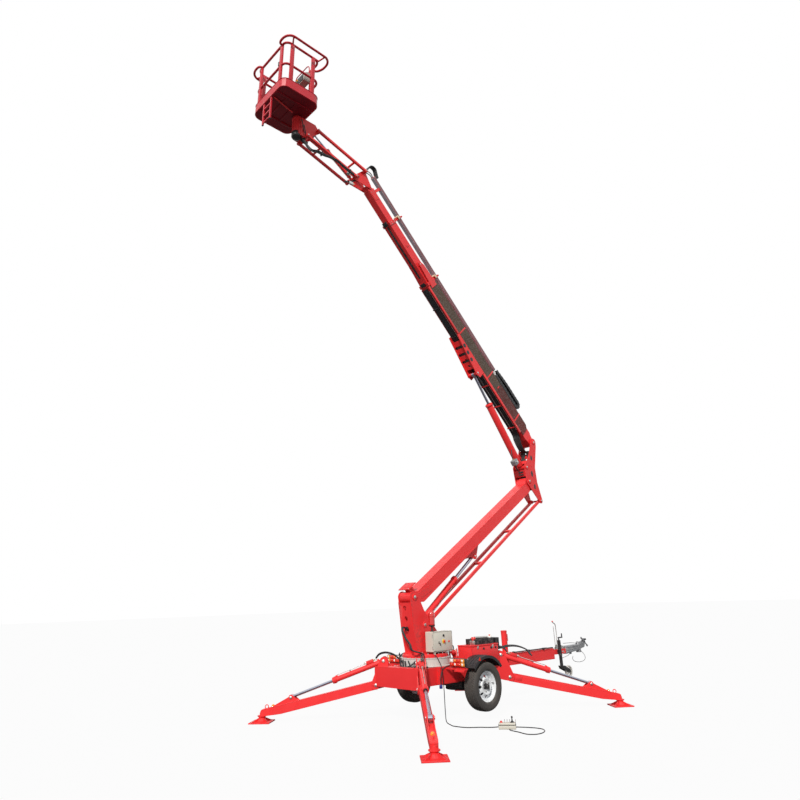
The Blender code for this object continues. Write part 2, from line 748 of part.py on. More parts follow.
def square_tube(start, end, half_width, half_height, wall):
    """A rectangular tube along X, open at its front end."""
    outer = block((start, end), (-half_width, half_width), (-half_height, half_height))
    inner = block((start + 0.02, end + 0.02), (-half_width + wall, half_width - wall),
                  (-half_height + wall, half_height - wall))
    return cut(outer, inner)


def make_upper_boom(pin):
    axis = frame_at("upper_boom_axis", pin, math.pi, upper_angle)
    wide, high = base_half_width, base_half_height
    base = square_tube(base_root, base_length, wide, high, section_wall)
    ear = plate(arc((0, 0), 0.08, 90, 270, 8) + [(base_root + 0.06, -high + 0.001),
                                                (base_root + 0.06, high - 0.001)],
                -wide + 0.002, wide - 0.002)
    shapes = [base, ear]
    eye, drop = upper_eye_along, upper_eye_rise
    bracket = [(eye - 0.104, 0.05), (eye - 0.104, drop - 0.02)] + arc((eye, drop), 0.06, 215, 300, 5)
    bracket += [(eye + 0.896, -0.20), (eye + 0.896, -high + 0.02), (eye + 0.166, -high + 0.04)]
    web = plate([(eye + 0.12, drop + 0.01), (eye + 0.76, drop + 0.122), (eye + 0.76, drop + 0.134),
                 (eye + 0.12, drop + 0.022)], -wide, wide)
    holes = [bar((eye + place, 0, drop - 0.1), (eye + place, 0, -high - 0.02), 0.03, 12)
             for place in upper_web_holes]
    inner = lift_eye_width / 2 + side_gap
    for side in (-1, 1):
        shapes.append(plate(bracket, side * (wide - 0.002), side * (wide + 0.014)))
        shapes.append(cross_bar(upper_eye_along, upper_eye_rise, 0.036, side * (wide + 0.01),
                                side * inner, 16))
    shapes.append(cut(web, *holes))
    head = block((base_length - 0.07, base_length), (-wide - 0.014, wide + 0.014),
                 (-high - 0.014, high + 0.014))
    head = cut(head, block((base_length - 0.2, base_length + 0.2), (-wide + 0.004, wide - 0.004),
                           (-high + 0.004, high - 0.004)))
    shapes.append(head)
    shapes += tube_guide(base_length - 0.035, high + 0.01)
    solid = joined(*shapes)
    holes = [cross_bar(0, 0, boom_pin_radius + pin_gap, -0.13, 0.13, 16),
             guide_hole(base_length - 0.035)]
    for place, rise in ((2.34, -0.245), (2.50, -0.22), (2.66, -0.195)):
        holes.append(cross_bar(place, rise, 0.03, -0.2, 0.2))
    node("upper_boom", cut(solid, *holes), red, axis)

    hoses = []
    low = -high - seat_gap
    for middle in (-0.048, -0.016, 0.016, 0.048):
        hoses.append(bar((0.35, middle, low - 0.016), (1.86, middle, low - 0.016), 0.0155, 8))
    for place in (0.45, 1.10, 1.78):
        hoses.append(block((place - 0.015, place + 0.015), (-0.07, 0.07), (low - 0.034, low)))
    node("boom_hoses", joined(hoses[4], *hoses[:4], *hoses[5:]), black, axis)

    chain = arc((0.80, high + seat_gap + 0.065), 0.065, 270, 90, 8)
    chain = [(1.70, high + seat_gap)] + chain + [(1.70, high + 0.13)]
    chain += [(1.70, high + 0.09)] + arc((0.80, high + seat_gap + 0.065), 0.025, 90, 270, 6)
    chain += [(1.70, high + 0.04)]
    node("energy_chain", plate(chain, -0.05, 0.05), black, axis)

    wide -= section_wall + section_gap
    high -= section_wall + section_gap
    mid_axis = frame_at("mid_slide", pin, math.pi, upper_angle)
    mid = square_tube(mid_head - mid_length, mid_head, wide, high, section_wall - 0.002)
    collar = block((mid_head - 0.06, mid_head), (-wide - 0.014, wide + 0.014), (-high - 0.014, high + 0.014))
    collar = cut(collar, block((mid_head - 0.2, mid_head + 0.2), (-wide + 0.004, wide - 0.004),
                               (-high + 0.004, high - 0.004)))
    solid = joined(mid, collar, *tube_guide(mid_head - 0.03, high + 0.01),
                   *slide_pads(mid_head - mid_length + 0.02, wide, high))
    node("mid_section", cut(solid, guide_hole(mid_head - 0.03)), red, mid_axis)

    wide -= section_wall - 0.002 + section_gap
    high -= section_wall - 0.002 + section_gap
    fly_axis = frame_at("fly_slide", pin, math.pi, upper_angle)
    body = block((fly_head - fly_length, fly_head), (-wide, wide), (-high, high))
    wall = section_wall - 0.002
    body = cut(body, block((fly_head - fly_length - 0.1, fly_head - 0.02),
                           (-wide + wall, wide - wall), (-high + wall, high - wall)))
    nose = plate([(fly_head - 0.01, -high + 0.01)] + arc((level_pin_along, level_pin_rise), 0.05, -60, 60, 6)
                 + [(fly_head - 0.01, high - 0.01)], -wide + 0.006, wide - 0.006)
    arm = block((fly_head - 0.10, fly_head - 0.04), (-0.02, 0.02),
                (high - 0.01, tube_rise - tube_size / 2 - seat_gap))
    solid = joined(body, nose, arm, *slide_pads(fly_head - fly_length + 0.02, wide, high))
    hole = cross_bar(level_pin_along, level_pin_rise, 0.02 + pin_gap, -0.1, 0.1)
    node("fly_section", cut(solid, hole), red, fly_axis)
    half = tube_size / 2
    tube = block((tube_rear, tube_front), (-half, half), (tube_rise - half, tube_rise + half))
    node("cable_tube", tube, ((0.62, 0.64, 0.70), 0.3, 1.0), fly_axis)
    return axis


def slide_pads(place, half_width, half_height):
    """Wear pads round a section's inner end, which run along the tube outside it."""
    reach = section_gap - pad_gap
    across = block((place, place + 0.08), (-half_width * 0.6, half_width * 0.6),
                   (-half_height - reach, half_height + reach))
    upright = block((place, place + 0.08), (-half_width - reach, half_width + reach),
                    (-half_height * 0.6, half_height * 0.6))
    hollow = block((place - 0.1, place + 0.2), (-half_width + 0.004, half_width - 0.004),
                   (-half_height + 0.004, half_height - 0.004))
    return [cut(across, hollow), cut(upright, hollow)]


def make_upper_lift(tip, axis):
    """The cylinder from the knuckle to the upper boom."""
    base = tip + Vector((upper_root_x, 0, upper_root_z))
    eye = axis.matrix_world @ Vector((upper_eye_along, 0, upper_eye_rise))
    make_cylinder("upper_lift", "", base, eye, math.pi, upper_barrel_length, lift_barrel_radius,
                  lift_rod_radius, lift_eye_radius, lift_eye_width, boom_pin_radius, upper_rod_start)


def tube_guide(place, rise):
    """The loop on a section's head that guides the cable tube."""
    half = tube_size / 2 + side_gap
    post = block((place - 0.02, place + 0.02), (-0.03, 0.03), (rise - 0.012, tube_rise - half))
    ring = block((place - 0.02, place + 0.02), (-half - 0.014, half + 0.014),
                 (tube_rise - half - 0.014, tube_rise + half + 0.014))
    return [post, ring]


def guide_hole(place):
    half = tube_size / 2 + side_gap
    return block((place - 0.1, place + 0.1), (-half, half), (tube_rise - half, tube_rise + half))


def make_jib(axis):
    """The level-keeping bracket, two pairs of parallel arms, the cylinder and the head."""
    level_pin = axis.matrix_world @ Vector((level_pin_along, 0, level_pin_rise))
    root = axis.matrix_world @ Vector((jib_root_along, 0, jib_root_rise))
    offset = Vector((jib_offset_x, 0, jib_offset_z))
    bracket_axis = frame_at("jib_bracket_axis", level_pin)
    to_root = root - level_pin
    to_low = to_root + offset
    inner, outer = jib_plate_y, jib_plate_y + jib_plate
    outline = arc((0, 0), 0.05, -60, 30, 5) + arc((to_root.x, to_root.z), 0.04, 20, 150, 6)
    outline += arc((to_low.x, to_low.z), 0.045, 140, 280, 7)
    arm_inner = jib_arm_y - jib_arm_size / 2
    arm_outer = jib_arm_y + jib_arm_size / 2
    shapes = []
    for side in (-1, 1):
        shapes.append(plate(outline, side * inner, side * outer))
        for place in (to_root, to_low):
            shapes.append(cross_bar(place.x, place.z, 0.03, side * (inner + 0.005),
                                    side * (arm_inner - side_gap)))
            shapes.append(cross_bar(place.x, place.z, jib_pin_radius, side * (inner + 0.006),
                                    side * (arm_outer + 0.012)))
    shapes.append(cross_bar(0, 0, 0.02, -outer - 0.01, outer + 0.01))
    shapes.append(cross_bar(to_low.x, to_low.z, jib_pin_radius, -inner - 0.005, inner + 0.005))
    shapes.append(cross_bar(to_root.x, to_root.z, 0.022, -inner - 0.005, inner + 0.005))
    node("jib_bracket", joined(*shapes), red, bracket_axis)

    for name, place in (("jib_upper_arm", root), ("jib_lower_arm", root + offset)):
        arm_axis = frame_at(name + "_axis", place, math.pi, jib_angle)
        half = jib_arm_size / 2
        shapes = []
        for side in (-1, 1):
            shapes.append(block((0.02, jib_length - 0.02), (side * arm_inner, side * arm_outer),
                                (-half, half)))
            for along in (0, jib_length):
                shapes.append(cross_bar(along, 0, jib_eye_radius, side * arm_inner, side * arm_outer))
        tie_place = 0.27 if name == "jib_upper_arm" else jib_length - jib_tie_inset
        tie = block((tie_place, tie_place + 0.035), (-jib_arm_y, jib_arm_y), (-half * 0.8, half * 0.8))
        solid = joined(shapes[0], tie, *shapes[1:])
        holes = [cross_bar(along, 0, jib_pin_radius + pin_gap, -0.2, 0.2) for along in (0, jib_length)]
        node(name, cut(solid, *holes), red, arm_axis)

    reach = Vector((-math.cos(jib_angle), 0, math.sin(jib_angle))) * jib_length
    tip = root + reach
    make_cylinder("jib", "", root + offset, tip, math.pi, jib_barrel_length, jib_barrel_radius,
                  jib_rod_radius, 0.03, 0.05, jib_pin_radius, jib_rod_start)

    head_axis = frame_at("jib_head_axis", tip)
    low = offset
    swivel = -swivel_reach
    top = swivel_rise - 0.035
    bottom = low.z - 0.03
    plate_inner = 0.095
    outline = arc((0, 0), 0.045, -60, 60, 6) + [(-0.05, top - 0.02), (swivel + 0.02, top - 0.02),
                                               (swivel + 0.02, bottom)]
    outline += arc((low.x, low.z), 0.045, 230, 330, 5)
    shapes = []
    for side in (-1, 1):
        shapes.append(plate(outline, side * plate_inner, side * (plate_inner + jib_plate)))
        for place in ((0, 0), (low.x, low.z)):
            shapes.append(cross_bar(*place, jib_pin_radius, side * (plate_inner + 0.006),
                                    side * (arm_outer + 0.012)))
            shapes.append(cross_bar(*place, 0.03, side * (plate_inner + 0.008),
                                    side * (arm_inner - side_gap)))
        shapes.append(cross_bar(0, 0, 0.03, side * (plate_inner + 0.002), side * 0.032))
    shapes.append(cross_bar(low.x, low.z, 0.025, -plate_inner - 0.005, plate_inner + 0.005))
    shapes.append(bar((swivel, 0, bottom), (swivel, 0, top), swivel_radius, 20))
    shapes.append(block((swivel - 0.02, swivel + 0.10), (-plate_inner - 0.005, plate_inner + 0.005),
                        (bottom + 0.02, top - 0.04)))
    shapes.append(bar((swivel, 0, top - 0.01), (swivel, 0, top + 0.034), spindle_radius))
    node("jib_head", joined(*shapes), red, head_axis)
    return tip + Vector((swivel, 0, swivel_rise))


def make_platform(swivel):
    axis = frame_at("platform_axis", swivel)
    middle = -platform_reach
    x_range = (middle - platform_depth / 2, middle + platform_depth / 2)
    y_range = (-platform_width / 2, platform_width / 2)

    def inset(amount):
        return ((x_range[0] + amount, x_range[1] - amount), (y_range[0] + amount, y_range[1] - amount),
                platform_corner - amount)

    pan = flat_plate(rounded_rectangle(*inset(0), 3), 0, toe_board)
    pan = cut(pan, flat_plate(rounded_rectangle(*inset(platform_wall), 3), platform_wall, toe_board + 0.1))
    shapes = [pan]
    rail_in = platform_wall + post_radius + 0.004
    posts = ((x_range[0] + rail_in, y_range[0] + 0.17), (x_range[0] + rail_in, y_range[1] - 0.17),
             (x_range[0] + 0.17, y_range[0] + rail_in), (x_range[1] - 0.17, y_range[0] + rail_in),
             (x_range[0] + 0.17, y_range[1] - rail_in), (x_range[1] - 0.17, y_range[1] - rail_in),
             (x_range[1] - rail_in, 0.22), (x_range[1] - rail_in, -0.22))
    for x, y in posts:
        shapes.append(bar((x, y, 0.003), (x, y, platform_height), post_radius, 6))
    loop = rounded_rectangle(*inset(rail_in), 3)
    for height in (platform_height * 0.52, platform_height):
        shapes.append(pipe([(x, y, height) for x, y in loop], top_rail, closed=True))
    for side in (-1, 1):
        out = side * (platform_width / 2 + 0.13)
        back = side * (platform_width / 2 - rail_in)
        high = platform_height + 0.012
        shapes.append(pipe([(x_range[0] + 0.17, back, high), (x_range[0] + 0.10, out - side * 0.03, high),
                            (x_range[0] + 0.13, out, high), (x_range[1] - 0.06, out, high),
                            (x_range[1] - 0.02, out - side * 0.03, high), (x_range[1] - 0.05, back, high),
                            (x_range[1] - 0.17, back, high)], top_rail))
    step_x = x_range[0] + 0.02
    for y in (-0.12, 0.12):
        shapes.append(block((step_x - 0.012, step_x + 0.012), (y - 0.018, y + 0.018), (-0.50, 0.05)))
    for height in (-0.14, -0.30, -0.46):
        shapes.append(block((step_x - 0.012, step_x + 0.012), (-0.12, 0.12),
                            (height - 0.012, height + 0.012)))
    for y in (-0.30, 0.30):
        shapes.append(block((x_range[0] + 0.03, x_range[1] - 0.03), (y - 0.02, y + 0.02), (-0.02, 0.003)))
    shapes.append(bar((0, 0, -0.034), (0, 0, 0.004), 0.075, 16))
    spindle_hole = bar((0, 0, -0.05), (0, 0, 0.001), spindle_radius + pin_gap)
    node("platform", cut(joined(*shapes), spindle_hole), red, axis)
    box = rounded_rectangle((-0.23, 0.25), (0.76, 1.22), 0.02, 3)
    post_face = rail_in + post_radius * math.cos(math.pi / 6)
    panel = flat_plate(box, x_range[1] - 0.19, x_range[1] - post_face - seat_gap)
    panel.transform(Matrix(((0, 0, 1, 0), (1, 0, 0, 0), (0, 1, 0, 0), (0, 0, 0, 1))))
    node("platform_controls", panel, grey, axis)


def make_deck_gear():
    """What stands on the chassis and the drawbar."""
    bottom = deck_top + seat_gap
    box = [(-0.04, -0.32), (-0.04, -0.61), (0.60, -0.61), (0.60, -0.32)]
    node("compartment", flat_plate(box, bottom, 0.97), red)
    unit = block((0.12, 0.56), (-0.56, -0.35), (0.97 + seat_gap, 1.05))
    cabinet = block((0.61, 0.70), (-0.56, -0.30), (0.875, 1.05))
    node("power_unit", joined(unit, block((0.50, 0.65), (-0.5, -0.38), (0.98, 1.04)), cabinet), black)
    node("under_housing", bar((0.32, 0, 0.33), (0.32, 0, deck_bottom - seat_gap), 0.24, 24), black)
    end = front_beam_x + beam_depth / 2 + seat_gap
    half = 0.085
    top = drawbar_high
    outline = [(end, beam_bottom + 0.02), (end, beam_top - 0.005), (end + 0.1, top), (drawbar_end, top),
               (drawbar_end, drawbar_low), (end + 0.5, drawbar_low)]
    bar_body = plate(outline, -half, half)
    nose = block((drawbar_end - 0.05, 3.36), (-0.04, 0.04), (0.62, 0.70))
    node("drawbar", joined(bar_body, nose), red)
    tip = [(3.3603, 0.60), (3.3603, 0.74), (3.55, 0.76), (3.80, 0.72), (3.95, 0.76),
           (coupling_tip - 0.06, 0.76), (coupling_tip, 0.70), (coupling_tip, 0.64), (4.0, 0.62),
           (3.9, 0.66), (3.6, 0.64)]
    node("coupling", plate(tip, -0.05, 0.05), ((0.45, 0.46, 0.47), 0.5, 0.6))
    lever = plate([(3.12, 0.7003), (3.22, 0.7003), (3.20, 0.86), (3.185, 1.10), (3.12, 1.20), (3.06, 1.17),
                   (3.07, 1.15), (3.11, 1.165), (3.155, 1.09), (3.165, 0.86)], -0.014, 0.014)
    node("handbrake_lever", lever, black)
    stem = joined(bar((3.10, -0.08, 0.40), (3.10, -0.08, 0.86), 0.03, 20),
                  block((3.06, 3.14), (-0.075, -0.04 - seat_gap), (0.64, 0.69)),
                  bar((3.10, -0.08, 0.86), (3.10, -0.08, 0.90), 0.012, 12),
                  block((3.09, 3.22), (-0.092, -0.068), (0.895, 0.915)))
    fork = []
    for side in (-1, 1):
        middle = -0.08 + side * 0.045
        fork.append(plate([(3.06, 0.43), (3.14, 0.43), (jockey_x + 0.02, jockey_z + 0.02),
                           (jockey_x + 0.01, jockey_z - 0.02), (jockey_x - 0.02, jockey_z - 0.02),
                           (3.08, 0.38)], middle - 0.004, middle + 0.004))
    bridge = block((3.06, 3.13), (-0.129, -0.031), (0.41, 0.43))
    spindle = cross_bar(jockey_x, jockey_z, 0.009, -0.135, -0.025, 16)
    node("jockey_stem", joined(stem, bridge, *fork, spindle), steel)
    hub = frame_at("jockey_axle", (jockey_x, -0.08, jockey_z))
    wheel = turned([(0.010, -0.03), (0.03, -0.03), (0.04, -0.012), (0.07, -0.012), (0.078, -0.03),
                    (jockey_radius - 0.006, -0.03), (jockey_radius, 0), (jockey_radius - 0.006, 0.03),
                    (0.078, 0.03), (0.07, 0.012), (0.04, 0.012), (0.03, 0.03), (0.010, 0.03)],
                   steps=20, axis="Y")
    node("jockey_wheel", wheel, rubber, hub)
    rest = joined(bar((rest_x, 0, top + seat_gap), (rest_x, 0, 1.10), 0.052, 16),
                  block((rest_x + 0.03, rest_x + 0.085), (-0.015, 0.015), (0.93, 1.04)),
                  block((rest_x - 0.075, rest_x + 0.075), (-0.08, 0.08), (top + seat_gap, top + 0.02)))
    node("boom_rest", rest, red)


def make_pendant():
    """The wired remote control lying on the floor and its cable."""
    place = Matrix.Translation((-0.33, -1.42, 0)) @ Matrix.Rotation(math.radians(-53), 4, "Z")
    box = joined(block((-0.12, 0.12), (-0.06, 0.06), (seat_gap, 0.075)),
                 bar((0.07, 0, 0.07), (0.07, 0, 0.15), 0.012, 12),
                 bar((-0.08, 0, 0.07), (-0.08, 0, 0.095), 0.016, 12))
    box.transform(place)
    node("pendant", box, grey)
    lying = pendant_cable_radius + seat_gap
    top = pendant_cable_top - 0.0003
    path = [(-0.585, -0.347, top), (-0.585, -0.347, top - 0.007), (-0.586, -0.362, top - 0.018),
            (-0.588, -0.40, top - 0.041), (-0.59, -0.455, 0.76), (-0.585, -0.48, 0.68),
            (-0.56, -0.475, 0.45), (-0.54, -0.46, 0.20), (-0.535, -0.458, 0.10),
            (-0.538, -0.468, 0.035), (-0.548, -0.495, lying + 0.006), (-0.565, -0.53, lying)]
    path += [(x, y, lying) for x, y in pendant_cable_path]
    node("pendant_cable", pipe(path, pendant_cable_radius), rubber)


make_chassis()
make_axle()
for wheel_name, wheel_side in (("left", 1), ("right", -1)):
    make_wheel(wheel_name, wheel_side)
    make_guard(wheel_name, wheel_side)
    make_lamp(wheel_name, wheel_side)
for corner, corner_x, corner_y, corner_direction in outrigger_corners:
    make_outrigger(corner, corner_x, corner_y, math.radians(corner_direction))
make_mast_unit()
boom_tip = make_lower_boom()
make_knuckle(boom_tip)
upper_axis = make_upper_boom(boom_tip + Vector((upper_pin_x, 0, upper_pin_z)))
make_upper_lift(boom_tip, upper_axis)
make_platform(make_jib(upper_axis))
make_deck_gear()
make_pendant()

# Centre the machine on the floor; the loose cable doesn't count.
bpy.context.view_layer.update()
solids = [item for item in bpy.data.objects if item.type == "MESH" and item.name != "pendant_cable"]
reach = [item.matrix_world @ corner.co for item in solids for corner in item.data.vertices]
centre = Vector((
    (min(point.x for point in reach) + max(point.x for point in reach)) / 2,
    (min(point.y for point in reach) + max(point.y for point in reach)) / 2,
    min(point.z for point in reach)))
for item in bpy.data.objects:
    if item.parent is None:
        item.location -= centre
bpy.context.view_layer.update()
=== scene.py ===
import json
import math

import bmesh
import bpy
from mathutils import Matrix, Vector

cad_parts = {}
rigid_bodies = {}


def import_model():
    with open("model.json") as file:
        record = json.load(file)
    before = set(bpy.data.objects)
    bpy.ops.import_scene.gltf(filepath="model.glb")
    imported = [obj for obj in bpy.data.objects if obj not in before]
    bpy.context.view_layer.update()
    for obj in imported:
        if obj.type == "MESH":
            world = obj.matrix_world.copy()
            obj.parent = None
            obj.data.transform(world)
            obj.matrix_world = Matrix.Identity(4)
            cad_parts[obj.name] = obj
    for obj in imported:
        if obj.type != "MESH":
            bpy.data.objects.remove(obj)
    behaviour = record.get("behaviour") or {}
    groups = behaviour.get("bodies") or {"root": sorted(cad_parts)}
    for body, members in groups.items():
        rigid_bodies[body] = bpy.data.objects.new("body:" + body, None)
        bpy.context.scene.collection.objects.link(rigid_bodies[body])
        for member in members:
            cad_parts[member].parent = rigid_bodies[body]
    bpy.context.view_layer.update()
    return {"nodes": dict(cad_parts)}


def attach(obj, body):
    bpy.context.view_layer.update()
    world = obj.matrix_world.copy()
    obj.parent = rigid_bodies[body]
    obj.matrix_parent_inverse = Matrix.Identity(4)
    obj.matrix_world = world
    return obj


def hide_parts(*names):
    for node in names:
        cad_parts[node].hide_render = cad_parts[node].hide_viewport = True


for oldObject in list(bpy.data.objects):
    bpy.data.objects.remove(oldObject, do_unlink=True)

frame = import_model()
nodes = frame["nodes"]
shift = Vector((-0.1175, 0, 0))  # from the axle to the middle of the machine
print("frame loaded")

# Camera, light and floor.
studio = {
    "eye": (-7.925, -7.574, 1.630),
    "heading": 46.374,
    "pitch": 24.037,
    "roll": -1.778,
    "focal": 600.392,
    "middle": (403.519, 333.370),
    "picture": 800,
    "sunFrom": (-0.68, -0.46, 0.57),
    "sunPower": 3.0,
    "skyPower": 0.62,
    "floorGrey": 0.16,
}


def makeCamera():
    heading, pitch, roll = (math.radians(studio[k]) for k in ("heading", "pitch", "roll"))
    forward = Vector((math.cos(heading) * math.cos(pitch), math.sin(heading) * math.cos(pitch), math.sin(pitch)))
    side = Vector((math.sin(heading), -math.cos(heading), 0))
    up = side.cross(forward)
    right = side * math.cos(roll) + up * math.sin(roll)
    top = up * math.cos(roll) - side * math.sin(roll)
    data = bpy.data.cameras.new("camera")
    size = studio["picture"]
    data.sensor_width = 36
    data.lens = studio["focal"] / size * 36
    data.shift_x = (size / 2 - studio["middle"][0]) / size
    data.shift_y = (studio["middle"][1] - size / 2) / size
    data.clip_end = 300
    camera = bpy.data.objects.new("camera", data)
    bpy.context.scene.collection.objects.link(camera)
    rows = Matrix((right, top, -forward)).transposed().to_4x4()
    camera.matrix_world = Matrix.Translation(Vector(studio["eye"]) + shift) @ rows
    bpy.context.scene.camera = camera


def makeLight():
    world = bpy.data.worlds.new("sky")
    bpy.context.scene.world = world
    world.use_nodes = True
    tree = world.node_tree
    tree.nodes.clear()
    out = tree.nodes.new("ShaderNodeOutputWorld")
    shown = tree.nodes.new("ShaderNodeBackground")
    lighting = tree.nodes.new("ShaderNodeBackground")
    mix = tree.nodes.new("ShaderNodeMixShader")
    path = tree.nodes.new("ShaderNodeLightPath")
    either = tree.nodes.new("ShaderNodeMath")
    every = tree.nodes.new("ShaderNodeMath")
    either.operation = every.operation = "MAXIMUM"
    lighting.inputs["Strength"].default_value = studio["skyPower"]
    lighting.inputs["Color"].default_value = (0.93, 0.96, 1.0, 1)
    tree.links.new(path.outputs["Is Camera Ray"], either.inputs[0])
    tree.links.new(path.outputs["Is Glossy Ray"], either.inputs[1])
    tree.links.new(either.outputs[0], every.inputs[0])
    tree.links.new(path.outputs["Is Transmission Ray"], every.inputs[1])
    tree.links.new(every.outputs[0], mix.inputs[0])
    tree.links.new(lighting.outputs[0], mix.inputs[1])
    tree.links.new(shown.outputs[0], mix.inputs[2])
    shown.inputs["Color"].default_value = (1, 1, 1, 1)
    tree.links.new(mix.outputs[0], out.inputs["Surface"])
    sun = bpy.data.lights.new("sun", "SUN")
    sun.energy = studio["sunPower"]
    sun.angle = math.radians(6)
    sun.color = (1.0, 0.965, 0.91)
    lamp = bpy.data.objects.new("sun", sun)
    bpy.context.scene.collection.objects.link(lamp)
    lamp.rotation_mode = "QUATERNION"
    lamp.rotation_quaternion = Vector(studio["sunFrom"]).to_track_quat("Z", "Y")


def makeFloor():
    mesh = bpy.data.meshes.new("floor")
    edge = 120
    mesh.from_pydata([(-edge, -edge, 0), (edge, -edge, 0), (edge, edge, 0), (-edge, edge, 0)], [], [(0, 1, 2, 3)])
    floor = bpy.data.objects.new("floor", mesh)
    bpy.context.scene.collection.objects.link(floor)
    material = bpy.data.materials.new("paleFloor")
    material.use_nodes = True
    tree = material.node_tree
    tree.nodes.clear()
    out = tree.nodes.new("ShaderNodeOutputMaterial")
    matt = tree.nodes.new("ShaderNodeBsdfDiffuse")
    glow = tree.nodes.new("ShaderNodeEmission")
    mix = tree.nodes.new("ShaderNodeMixShader")
    path = tree.nodes.new("ShaderNodeLightPath")
    share = tree.nodes.new("ShaderNodeMath")
    share.operation = "MULTIPLY"
    share.inputs[1].default_value = 0.88
    grey = studio["floorGrey"]
    matt.inputs["Color"].default_value = (grey, grey, grey, 1)
    glow.inputs["Color"].default_value = (1, 1, 1, 1)
    glow.inputs["Strength"].default_value = 1.08
    tree.links.new(path.outputs["Is Camera Ray"], share.inputs[0])
    tree.links.new(share.outputs[0], mix.inputs[0])
    tree.links.new(matt.outputs[0], mix.inputs[1])
    tree.links.new(glow.outputs[0], mix.inputs[2])
    tree.links.new(mix.outputs[0], out.inputs["Surface"])
    mesh.materials.append(material)


bpy.context.scene.view_settings.view_transform = "Standard"
makeCamera()
makeLight()
makeFloor()
print("studio ready")


# Finishes.
def newGroup(name, inputs, outputs):
    group = bpy.data.node_groups.new(name, "ShaderNodeTree")
    for socket, kind, value in inputs:
        made = group.interface.new_socket(name=socket, in_out="INPUT", socket_type=kind)
        made.default_value = value
    for socket, kind in outputs:
        group.interface.new_socket(name=socket, in_out="OUTPUT", socket_type=kind)
    return group, group.nodes.new("NodeGroupInput"), group.nodes.new("NodeGroupOutput")


def noiseNode(tree, scale, detail=3.0, stretch=(1, 1, 1)):
    place = tree.nodes.new("ShaderNodeTexCoord")
    fit = tree.nodes.new("ShaderNodeMapping")
    fit.inputs["Scale"].default_value = stretch
    noise = tree.nodes.new("ShaderNodeTexNoise")
    noise.inputs["Scale"].default_value = scale
    noise.inputs["Detail"].default_value = detail
    tree.links.new(place.outputs["Object"], fit.inputs["Vector"])
    tree.links.new(fit.outputs["Vector"], noise.inputs["Vector"])
    return noise


def rangeNode(tree, source, low, high, outLow=0.0, outHigh=1.0):
    node = tree.nodes.new("ShaderNodeMapRange")
    node.inputs["From Min"].default_value = low
    node.inputs["From Max"].default_value = high
    node.inputs["To Min"].default_value = outLow
    node.inputs["To Max"].default_value = outHigh
    tree.links.new(source, node.inputs["Value"])
    return node.outputs["Result"]


def mixColour(tree, factor, first, second):
    node = tree.nodes.new("ShaderNodeMix")
    node.data_type = "RGBA"
    tree.links.new(factor, node.inputs["Factor"])
    tree.links.new(first, node.inputs[6])
    tree.links.new(second, node.inputs[7])
    return node.outputs[2]


def product(tree, first, second):
    node = tree.nodes.new("ShaderNodeMath")
    node.operation = "MULTIPLY"
    tree.links.new(first, node.inputs[0])
    tree.links.new(second, node.inputs[1])
    return node.outputs[0]


def makeWeathering():
    group, given, out = newGroup(
        "weathering",
        [("Color", "NodeSocketColor", (1, 1, 1, 1)), ("Shade", "NodeSocketColor", (0, 0, 0, 1)),
         ("Tone", "NodeSocketFloat", 0.2), ("Dust", "NodeSocketFloat", 0.2),
         ("Dust Color", "NodeSocketColor", (0.5, 0.45, 0.4, 1)), ("Wear", "NodeSocketFloat", 0.2),
         ("Wear Color", "NodeSocketColor", (0.5, 0.5, 0.5, 1))],
        [("Color", "NodeSocketColor"), ("Mask", "NodeSocketFloat")])
    cloudy = rangeNode(group, noiseNode(group, 2.2, 5).outputs["Fac"], 0.38, 0.68)
    toned = mixColour(group, product(group, cloudy, given.outputs["Tone"]), given.outputs["Color"],
        given.outputs["Shade"])
    shape = group.nodes.new("ShaderNodeNewGeometry")
    split = group.nodes.new("ShaderNodeSeparateXYZ")
    group.links.new(shape.outputs["Normal"], split.inputs[0])
    upward = rangeNode(group, split.outputs["Z"], 0.35, 1.0)
    spots = rangeNode(group, noiseNode(group, 14, 6).outputs["Fac"], 0.42, 0.62)
    dusty = product(group, product(group, upward, spots), given.outputs["Dust"])
    dusted = mixColour(group, dusty, toned, given.outputs["Dust Color"])
    ridge = rangeNode(group, shape.outputs["Pointiness"], 0.53, 0.60)
    chips = rangeNode(group, noiseNode(group, 38, 4).outputs["Fac"], 0.50, 0.58)
    worn = product(group, product(group, ridge, chips), given.outputs["Wear"])
    group.links.new(mixColour(group, worn, dusted, given.outputs["Wear Color"]), out.inputs["Color"])
    group.links.new(worn, out.inputs["Mask"])
    return group


def makeGrain():
    group, given, out = newGroup("fineGrain", [("Scale", "NodeSocketFloat", 200.0)], [("Height", "NodeSocketFloat")])
    noise = noiseNode(group, 200, 2)
    group.links.new(given.outputs["Scale"], noise.inputs["Scale"])
    group.links.new(noise.outputs["Fac"], out.inputs["Height"])
    return group


weathering = makeWeathering()
fineGrain = makeGrain()


